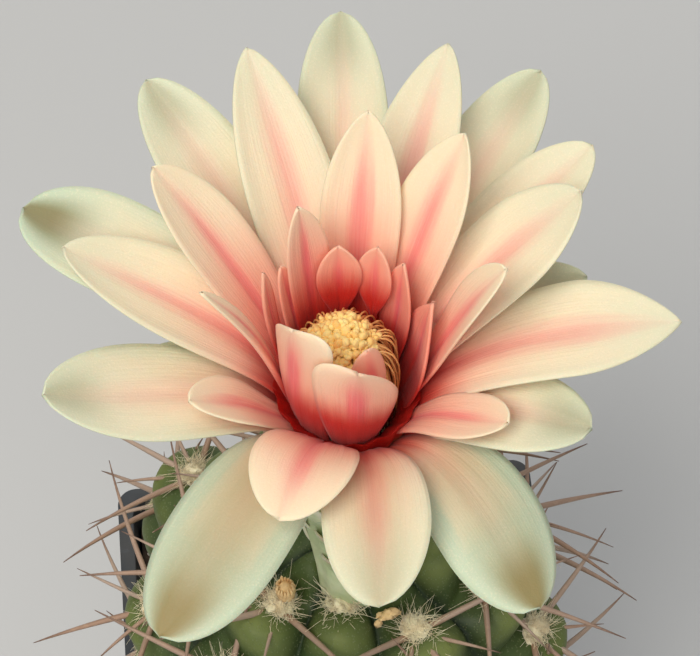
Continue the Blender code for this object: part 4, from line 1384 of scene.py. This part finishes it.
@dataclass
class Areoles:
    """Felt pads with loose wool, the felted bud and a dry scrap of an old flower."""
    stem: StemShape
    pad_radius: float = 1.9 * MM
    pad_height: float = 1.0 * MM
    hairs: int = 300
    hair_length: float = 1.45 * MM
    hair_radius: float = 0.05 * MM
    bud_rib: int = 1
    bud_radius: float = 1.15 * MM
    bud_height: float = 2.8 * MM
    bud_flakes: int = 16
    flake_radius: float = 0.34 * MM
    scrap: tuple[float, float] = (158.5, 25.0)
    scrap_crumbs: int = 9
    seed: int = 31

    def build(self, wool: Material, husk: Material) -> None:
        """Builds the wool of all areoles, then the bud and the scrap."""
        draw = random.Random(self.seed)
        pads = Swarm(ball_template(3))
        hairs = Swarm(rod_template(3, 3))
        for rib, azimuth, polar in self.stem.areoles():
            foot, outward, down, side = self.stem.frame(azimuth, polar)
            turn = Matrix((side, down, outward)).transposed()
            shape = Matrix.Diagonal((self.pad_radius, self.pad_radius * 1.15, self.pad_height))
            warp = Vector((rib, polar, 3.0))
            clumps = lambda point: 0.9 + 0.5 * noise.noise(point * 2.4 + warp)
            ragged = lambda point: clumps(point) + 0.3 * noise.noise(point * 7.0 + warp)
            pads.add(lambda point: foot + turn @ (shape @ (point * ragged(point))))
            for _ in range(self.hairs):
                angle = draw.uniform(0.0, tau)
                away = sqrt(draw.random())
                level = side * cos(angle) + down * sin(angle)
                start = foot + level * away * self.pad_radius
                start += outward * self.pad_height * 0.6 * (1.0 - away * away)
                heading = (outward * draw.uniform(0.2, 1.2) + level * draw.uniform(0.0, 1.2)).normalized()
                curl = (side * draw.uniform(-1.0, 1.0) + down * draw.uniform(-1.0, 1.0)) * 1.3
                length = self.hair_length * draw.uniform(0.35, 1.0 + 0.4 * away)
                path = lambda share: start + (heading * share + curl * share * share) * length
                hairs.add(along_path(path, lambda share: self.hair_radius * (1.0 - 0.6 * share)))
        hand_over(pads.finish("areole_pads"), wool, "stem_skin", "stem")
        hand_over(hairs.finish("areole_wool"), wool, "stem_skin", "stem")
        self.build_bud(husk)
        self.build_scrap(husk)

    def build_scrap(self, husk: Material) -> Object:
        """A crumpled dry scrap of an old flower that lies on the crown."""
        draw = random.Random(self.seed + 9)
        foot, outward, down, side = self.stem.frame(*self.scrap)
        crumbs = Swarm(ball_template(2))
        level = Matrix((side, down, outward)).transposed()
        for _ in range(self.scrap_crumbs):
            shift = Vector((draw.uniform(-1.7, 1.7), draw.uniform(-0.6, 0.6), draw.uniform(0.4, 1.6)))
            place = foot + level @ shift * MM
            turn = level @ Matrix.Rotation(draw.uniform(0.0, tau), 3, "X")
            shape = Matrix.Diagonal((draw.uniform(0.5, 0.9), draw.uniform(0.4, 0.7), 0.26)) * MM
            warp = any_vector(draw)
            ragged = lambda point: 1.0 + 0.6 * noise.noise(point * 2.2 + warp)
            crumbs.add(lambda point: place + turn @ (shape @ (point * ragged(point))))
        return hand_over(crumbs.finish("dry_scrap"), husk, "stem_skin", "stem")

    def build_bud(self, husk: Material) -> Object:
        """The felted bud with its open flaky top."""
        azimuth = self.stem.first_rib + self.bud_rib * 360.0 / self.stem.ribs
        foot, outward, down, _ = self.stem.frame(azimuth, self.stem.first_areoles[self.bud_rib])
        heading = (outward + UP * 0.6).normalized()
        turn = heading.to_track_quat("Z", "Y").to_matrix()
        body = Swarm(ball_template(3))
        shape = Matrix.Diagonal((self.bud_radius, self.bud_radius, self.bud_height * 0.62))
        middle = foot + heading * self.bud_height * 0.5 - down * 1.5 * MM
        body.add(lambda point: middle + turn @ (shape @ (point * (1.0 + 0.14 * noise.noise(point * 3.0)))))
        knob = body.finish("bud_body")
        flakes = Swarm(rod_template(4, 4))
        draw = random.Random(self.seed + 5)
        for i in range(self.bud_flakes):
            angle = tau * i / self.bud_flakes
            lean = turn @ Vector((cos(angle), sin(angle), 0.0))
            start = middle + lean * self.bud_radius * 0.75
            start += heading * self.bud_height * draw.uniform(0.1, 0.4)
            reach = draw.uniform(0.9, 1.5) * MM
            path = lambda share: start + heading * reach * share + lean * reach * 0.5 * share * (1.0 - share)
            flakes.add(along_path(path, lambda share: self.flake_radius * (1.0 - 0.75 * share)))
        bud = join([knob, flakes.finish("bud_flakes")], "felted_bud")
        return hand_over(bud, husk, "stem_skin", "stem")


@dataclass
class Stem:
    """The ribbed body's skin."""
    shape: StemShape
    rings: int = 150
    segments_a_rib: int = 38

    def build(self, material: Material) -> Object:
        """Shapes a sphere by the formula, with ridge and chin stored for the skin's colour."""
        body = primitive("uv_sphere", "stem_body", segments=self.segments_a_rib * self.shape.ribs,
                         ring_count=self.rings, radius=1.0)
        ridges = []
        chins = []
        for vertex in body.data.vertices:
            azimuth = degrees(atan2(vertex.co.x, vertex.co.y))
            polar = degrees(vertex.co.angle(UP))
            ridge, chin, _ = self.shape.parts(azimuth, polar)
            ridges.append(ridge)
            chins.append(max(0.0, chin) * ridge)
            wrinkle = 0.10 * MM * noise.fractal(vertex.co * 14.0, 0.8, 2.0, 3)
            vertex.co = self.shape.point(azimuth, polar) + vertex.co * wrinkle
        remember(body.data, "ridge", ridges)
        remember(body.data, "chin", chins)
        return hand_over(smooth(body), material, "stem_skin", "stem")


@dataclass
class FloralTube:
    """The tube below the flower.

    A row of scales holds its height, count, first compass angle, length, width and lean, in
    millimetres and degrees. The heights start from the mouth.
    """
    shape: TubeShape
    top: float = -9.0
    step: float = 0.75
    segments: int = 64
    cut: Cut = Cut(16, 10, 0.65 * MM)
    rows: tuple[tuple[float, int, float, float, float, float], ...] = (
        (-29.5, 4, 20.0, 5.0, 5.4, 26.0),
        (-25.5, 5, 200.0, 6.5, 6.2, 27.0),
        (-21.0, 5, 235.0, 7.5, 6.8, 28.0),
        (-16.5, 6, 190.0, 8.5, 7.2, 30.0),
    )
    sunk: float = 0.4
    bow: float = 14.0

    def build(self, material: Material) -> Object:
        """Builds the tube and its scales as one piece."""
        steps = int((self.top - self.shape.profile[0][0]) / self.step)
        heights = [self.top - i * self.step for i in range(steps + 1)]
        wall = [(self.shape.radius(height * MM), height * MM) for height in heights]
        outline = [(0.0, self.top * MM), *wall, (0.0, heights[-1] * MM)]
        body = turned("floral_tube_body", outline, self.segments)
        for vertex in body.data.vertices:
            angle = atan2(vertex.co.y, vertex.co.x)
            out = Vector((vertex.co.x, vertex.co.y, 0.0))
            vertex.co += out.normalized() * 0.10 * MM * cos(11.0 * angle) if out.length > MM else Vector()
            vertex.co += self.shape.centre(vertex.co.z)
        body.data.uv_layers.new(name="UVMap")
        remember(body.data, "scale", [0.0] * len(body.data.vertices))
        things = [body]
        for height, count, start, length, width, lean in self.rows:
            base = self.shape.radius(height * MM) / MM - self.sunk
            arch, bow = length / 3.0, self.bow / 2.0
            ring = Whorl(base, height, arch, lean - bow, arch, lean + bow)
            reach = base + length * sin(radians(lean))
            rise = height + length * cos(radians(lean))
            for i in range(count):
                azimuth = start + i * 360.0 / count
                scale = Blade(azimuth, reach, rise, width, point=0.3, cup=0.75, widest=0.55)
                things.append(scale.build("scale", ring, self.shape.centre, self.cut))
        tube = smooth(join(things, "floral_tube_scales"), 70.0)
        return hand_over(tube, material, "tube_scales", "floral_tube")


@dataclass
class Stamens:
    """Filaments that arch in from the throat's wall, each with its anther. Sizes are millimetres."""
    mouth: Vector
    count: int = 210
    dome_radius: float = 3.6
    dome_top: float = 8.0
    dome_drop: float = 2.6
    dimple: float = 0.05
    filament: float = 0.11
    anther: tuple[float, float, float] = (0.46, 0.40, 0.68)
    off_axis: float = -0.5
    wall: tuple[float, float] = (4.4, 5.4)
    root_height: tuple[float, float] = (-8.0, -4.0)
    seed: int = 5

    def spot(self, share: float, angle: float) -> Vector:
        """A point of the anthers' dome in millimetres, with a dimple at its middle."""
        away = self.dimple + (self.dome_radius - self.dimple) * sqrt(share)
        height = self.dome_top - self.dome_drop * (away / self.dome_radius) ** 2.2
        height -= 0.6 * bump_at(away, 0.0, 1.0)
        return Vector((away * cos(angle) + self.off_axis, away * sin(angle), height))

    def build(self, pollen: Material, thread: Material) -> None:
        """Builds the filaments and the anthers."""
        draw = random.Random(self.seed)
        grains = Swarm(ball_template(2))
        threads = Swarm(rod_template(5, 9))
        golden = pi * (3.0 - sqrt(5.0))
        for i in range(self.count):
            angle = i * golden + draw.uniform(-0.12, 0.12)
            share = (i + 0.5) / self.count
            jitter = Vector((draw.uniform(-0.2, 0.2), draw.uniform(-0.2, 0.2), draw.uniform(-0.4, 0.4)))
            spot = self.spot(share, angle) + jitter
            out = Vector((cos(angle), sin(angle), 0.0))
            sway = Vector((draw.uniform(-0.8, 0.8), draw.uniform(-0.8, 0.8), 0.0))
            tilt = (UP + out * draw.uniform(0.0, 1.0) * (0.3 + share) + sway).normalized()
            turn = tilt.to_track_quat("Z", "Y").to_matrix() @ Matrix.Rotation(draw.uniform(0.0, tau), 3, "Z")
            size = draw.uniform(0.75, 1.25)
            shape = Matrix.Diagonal(Vector(self.anther) * size)
            place = self.mouth + spot * MM
            grains.add(lambda point: place + turn @ (shape @ self.pinch(point)) * MM, tone=draw.random() ** 2)
            wall = draw.uniform(*self.wall)
            low = Vector((out.x * wall, out.y * wall, draw.uniform(*self.root_height)))
            belly = out * (4.8 + 2.2 * share) + UP * (2.0 + 5.6 * share)
            high = spot - tilt * 0.3
            path = lambda step: self.mouth + self.arc(low, belly, high, step) * MM
            threads.add(along_path(path, lambda step: self.filament * MM), along=lambda point: point.z)
        hand_over(grains.finish("anthers"), pollen, "pollen", "stamens")
        hand_over(threads.finish("filaments"), thread, "pollen", "stamens")

    @staticmethod
    def pinch(point: Vector) -> Vector:
        """Two swollen lobes with a furrow between them."""
        return point * (1.0 - 0.22 * bump_at(point.x, 0.0, 0.25))

    @staticmethod
    def arc(low: Vector, belly: Vector, high: Vector, share: float) -> Vector:
        """A curve from low to high, pulled out to belly."""
        rest = 1.0 - share
        return low * rest ** 3 + (low * 0.3 + belly * 0.7) * 3.0 * rest ** 2 * share \
            + (high * 0.35 + belly * 0.65) * 3.0 * rest * share ** 2 + high * share ** 3


@dataclass
class Style:
    """The pistil: a pale column with stigma lobes that are nearly closed."""
    mouth: Vector
    low: Vector
    radius: float = 0.8 * MM
    top: float = 5.2 * MM
    lobes: int = 6
    lobe_reach: float = 0.55 * MM
    lobe_radius: float = 0.34 * MM

    def build(self, material: Material) -> Object:
        """Builds the column and its lobes."""
        swarm = Swarm(rod_template(16, 10))
        foot = Vector((self.mouth.x, self.mouth.y, self.low.z))
        head = self.mouth + UP * self.top
        path = lambda share: foot.lerp(head, share)
        swarm.add(along_path(path, lambda share: self.radius * (1.0 - 0.25 * share)),
                  along=lambda point: point.z)
        for i in range(self.lobes):
            out = compass(360.0 * i / self.lobes) * self.lobe_reach
            path = lambda share: head + out * sin(pi * 0.55 * share) + UP * (1.7 * share - 0.5) * MM
            swarm.add(along_path(path, lambda share: self.lobe_radius * (1.0 - 0.5 * share ** 2)), along=1.0)
        return hand_over(swarm.finish("pistil"), material, "pistil", "style")


@dataclass(frozen=True)
class Lamp:
    """A square soft light: its place and size in metres, its power in watts, and its colour."""
    name: str
    place: tuple[float, float, float]
    size: float
    power: float
    colour: Colour


@dataclass
class Studio:
    """Pale floor, soft lights and the camera of the photograph."""
    target: Vector = field(default_factory=lambda: Vector((1.7, 6.3, 118.0)) * MM)
    elevation: float = 57.0
    azimuth: float = -5.1
    distance: float = 300.0 * MM
    lens: float = 142.1
    sensor: float = 36.0
    floor_size: float = 4.0
    sky: Colour = (0.95, 0.97, 1.0)
    sky_strength: float = 0.36
    lamps: tuple[Lamp, ...] = (
        Lamp("key", (-0.20, -0.22, 0.62), 0.34, 2.9, (1.0, 0.96, 0.90)),
        Lamp("fill", (0.10, -0.58, 0.42), 0.6, 1.05, (0.95, 0.97, 1.0)),
        Lamp("rear", (0.10, 0.55, 0.50), 0.5, 1.2, (1.0, 0.98, 0.95)),
    )

    def build(self, board: Material) -> None:
        """Lays the floor and sets lights, world and camera."""
        floor = primitive("plane", "floor", size=self.floor_size)
        floor.data.materials.append(board)
        for lamp in self.lamps:
            self.light(lamp)
        world = bpy.data.worlds.new("studio")
        world.use_nodes = True
        background = world.node_tree.nodes["Background"]
        background.inputs["Color"].default_value = (*self.sky, 1.0)
        background.inputs["Strength"].default_value = self.sky_strength
        bpy.context.scene.world = world
        bpy.context.scene.view_settings.view_transform = "Standard"
        self.camera()

    def light(self, lamp: Lamp) -> None:
        """Sets a lamp up so that it faces the flower."""
        source = bpy.data.lights.new(lamp.name, "AREA")
        source.size = lamp.size
        source.energy = lamp.power
        source.color = lamp.colour
        thing = bpy.data.objects.new(lamp.name, source)
        bpy.context.scene.collection.objects.link(thing)
        thing.location = lamp.place
        thing.rotation_euler = (self.target - thing.location).to_track_quat("-Z", "Y").to_euler()

    def camera(self) -> None:
        """The camera at the photograph's place."""
        turn, rise = radians(self.azimuth), radians(self.elevation)
        back = Vector((sin(turn) * cos(rise), -cos(turn) * cos(rise), sin(rise)))
        right = Vector((cos(turn), sin(turn), 0.0))
        up = back.cross(right)
        lens = bpy.data.cameras.new("camera")
        lens.lens = self.lens
        lens.sensor_width = self.sensor
        lens.sensor_fit = "HORIZONTAL"
        lens.clip_start = 0.01
        thing = bpy.data.objects.new("camera", lens)
        bpy.context.scene.collection.objects.link(thing)
        place = self.target + back * self.distance
        thing.matrix_world = Matrix.Translation(place) @ Matrix((right, up, back)).transposed().to_4x4()
        bpy.context.scene.camera = thing


def main() -> None:
    """Builds every piece over the frame."""
    logging.basicConfig(level=logging.INFO, format="%(message)s")
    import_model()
    effects = Effects(speckle_group(), mottle_group(), streak_group())
    stem = StemShape(Vector((1.0, 0.0, 62.0)) * MM)
    mouth = Vector((0.9, 0.7, 118.0)) * MM
    tube = TubeShape(mouth, Vector((1.0, -5.0, 80.5)) * MM)
    wool = WoolFinish("areole_felt", roughness=0.95, sheen=0.4)
    husk = WoolFinish("dry_husk", roughness=0.9, fresh=(0.88, 0.62, 0.30), old=(0.52, 0.32, 0.15))
    pistil = ThreadFinish("pistil", roughness=0.5, foot=(0.55, 0.33, 0.14))
    Pot(*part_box("pot")).build(PlasticFinish("pot_plastic", roughness=0.45).make(effects))
    Soil(stem).build(SoilFinish("soil_mix", roughness=1.0).make(effects),
                     GritFinish("soil_grit", roughness=0.9).make(effects))
    Stem(stem).build(SkinFinish("stem_skin", roughness=0.6, subsurface=0.08, specular=0.35).make(effects))
    Areoles(stem).build(wool.make(effects), husk.make(effects))
    Spines(stem, tube).build(SpineFinish("spine_horn", roughness=0.5).make(effects))
    FloralTube(tube).build(TubeFinish("tube_scales", roughness=0.45, subsurface=0.15).make(effects))
    tissue = TepalFinish("tepal_tissue", roughness=0.5, subsurface=0.25, bleed=1.2, sheen=0.08, specular=0.35,
                         throat=mouth - UP * 6.0 * MM)
    lining = ThroatFinish("throat_lining", roughness=0.5, subsurface=0.1)
    Bloom(mouth).build(tissue.make(effects), lining.make(effects))
    Stamens(mouth).build(PollenFinish("pollen", roughness=0.8, subsurface=0.15, bleed=0.4).make(effects),
                         ThreadFinish("filament", roughness=0.4, subsurface=0.2, bleed=0.4).make(effects))
    Style(mouth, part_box("style")[0]).build(pistil.make(effects))
    Studio().build(FloorFinish("floor_board", roughness=0.8).make(effects))


if __name__ == "__main__":
    main()
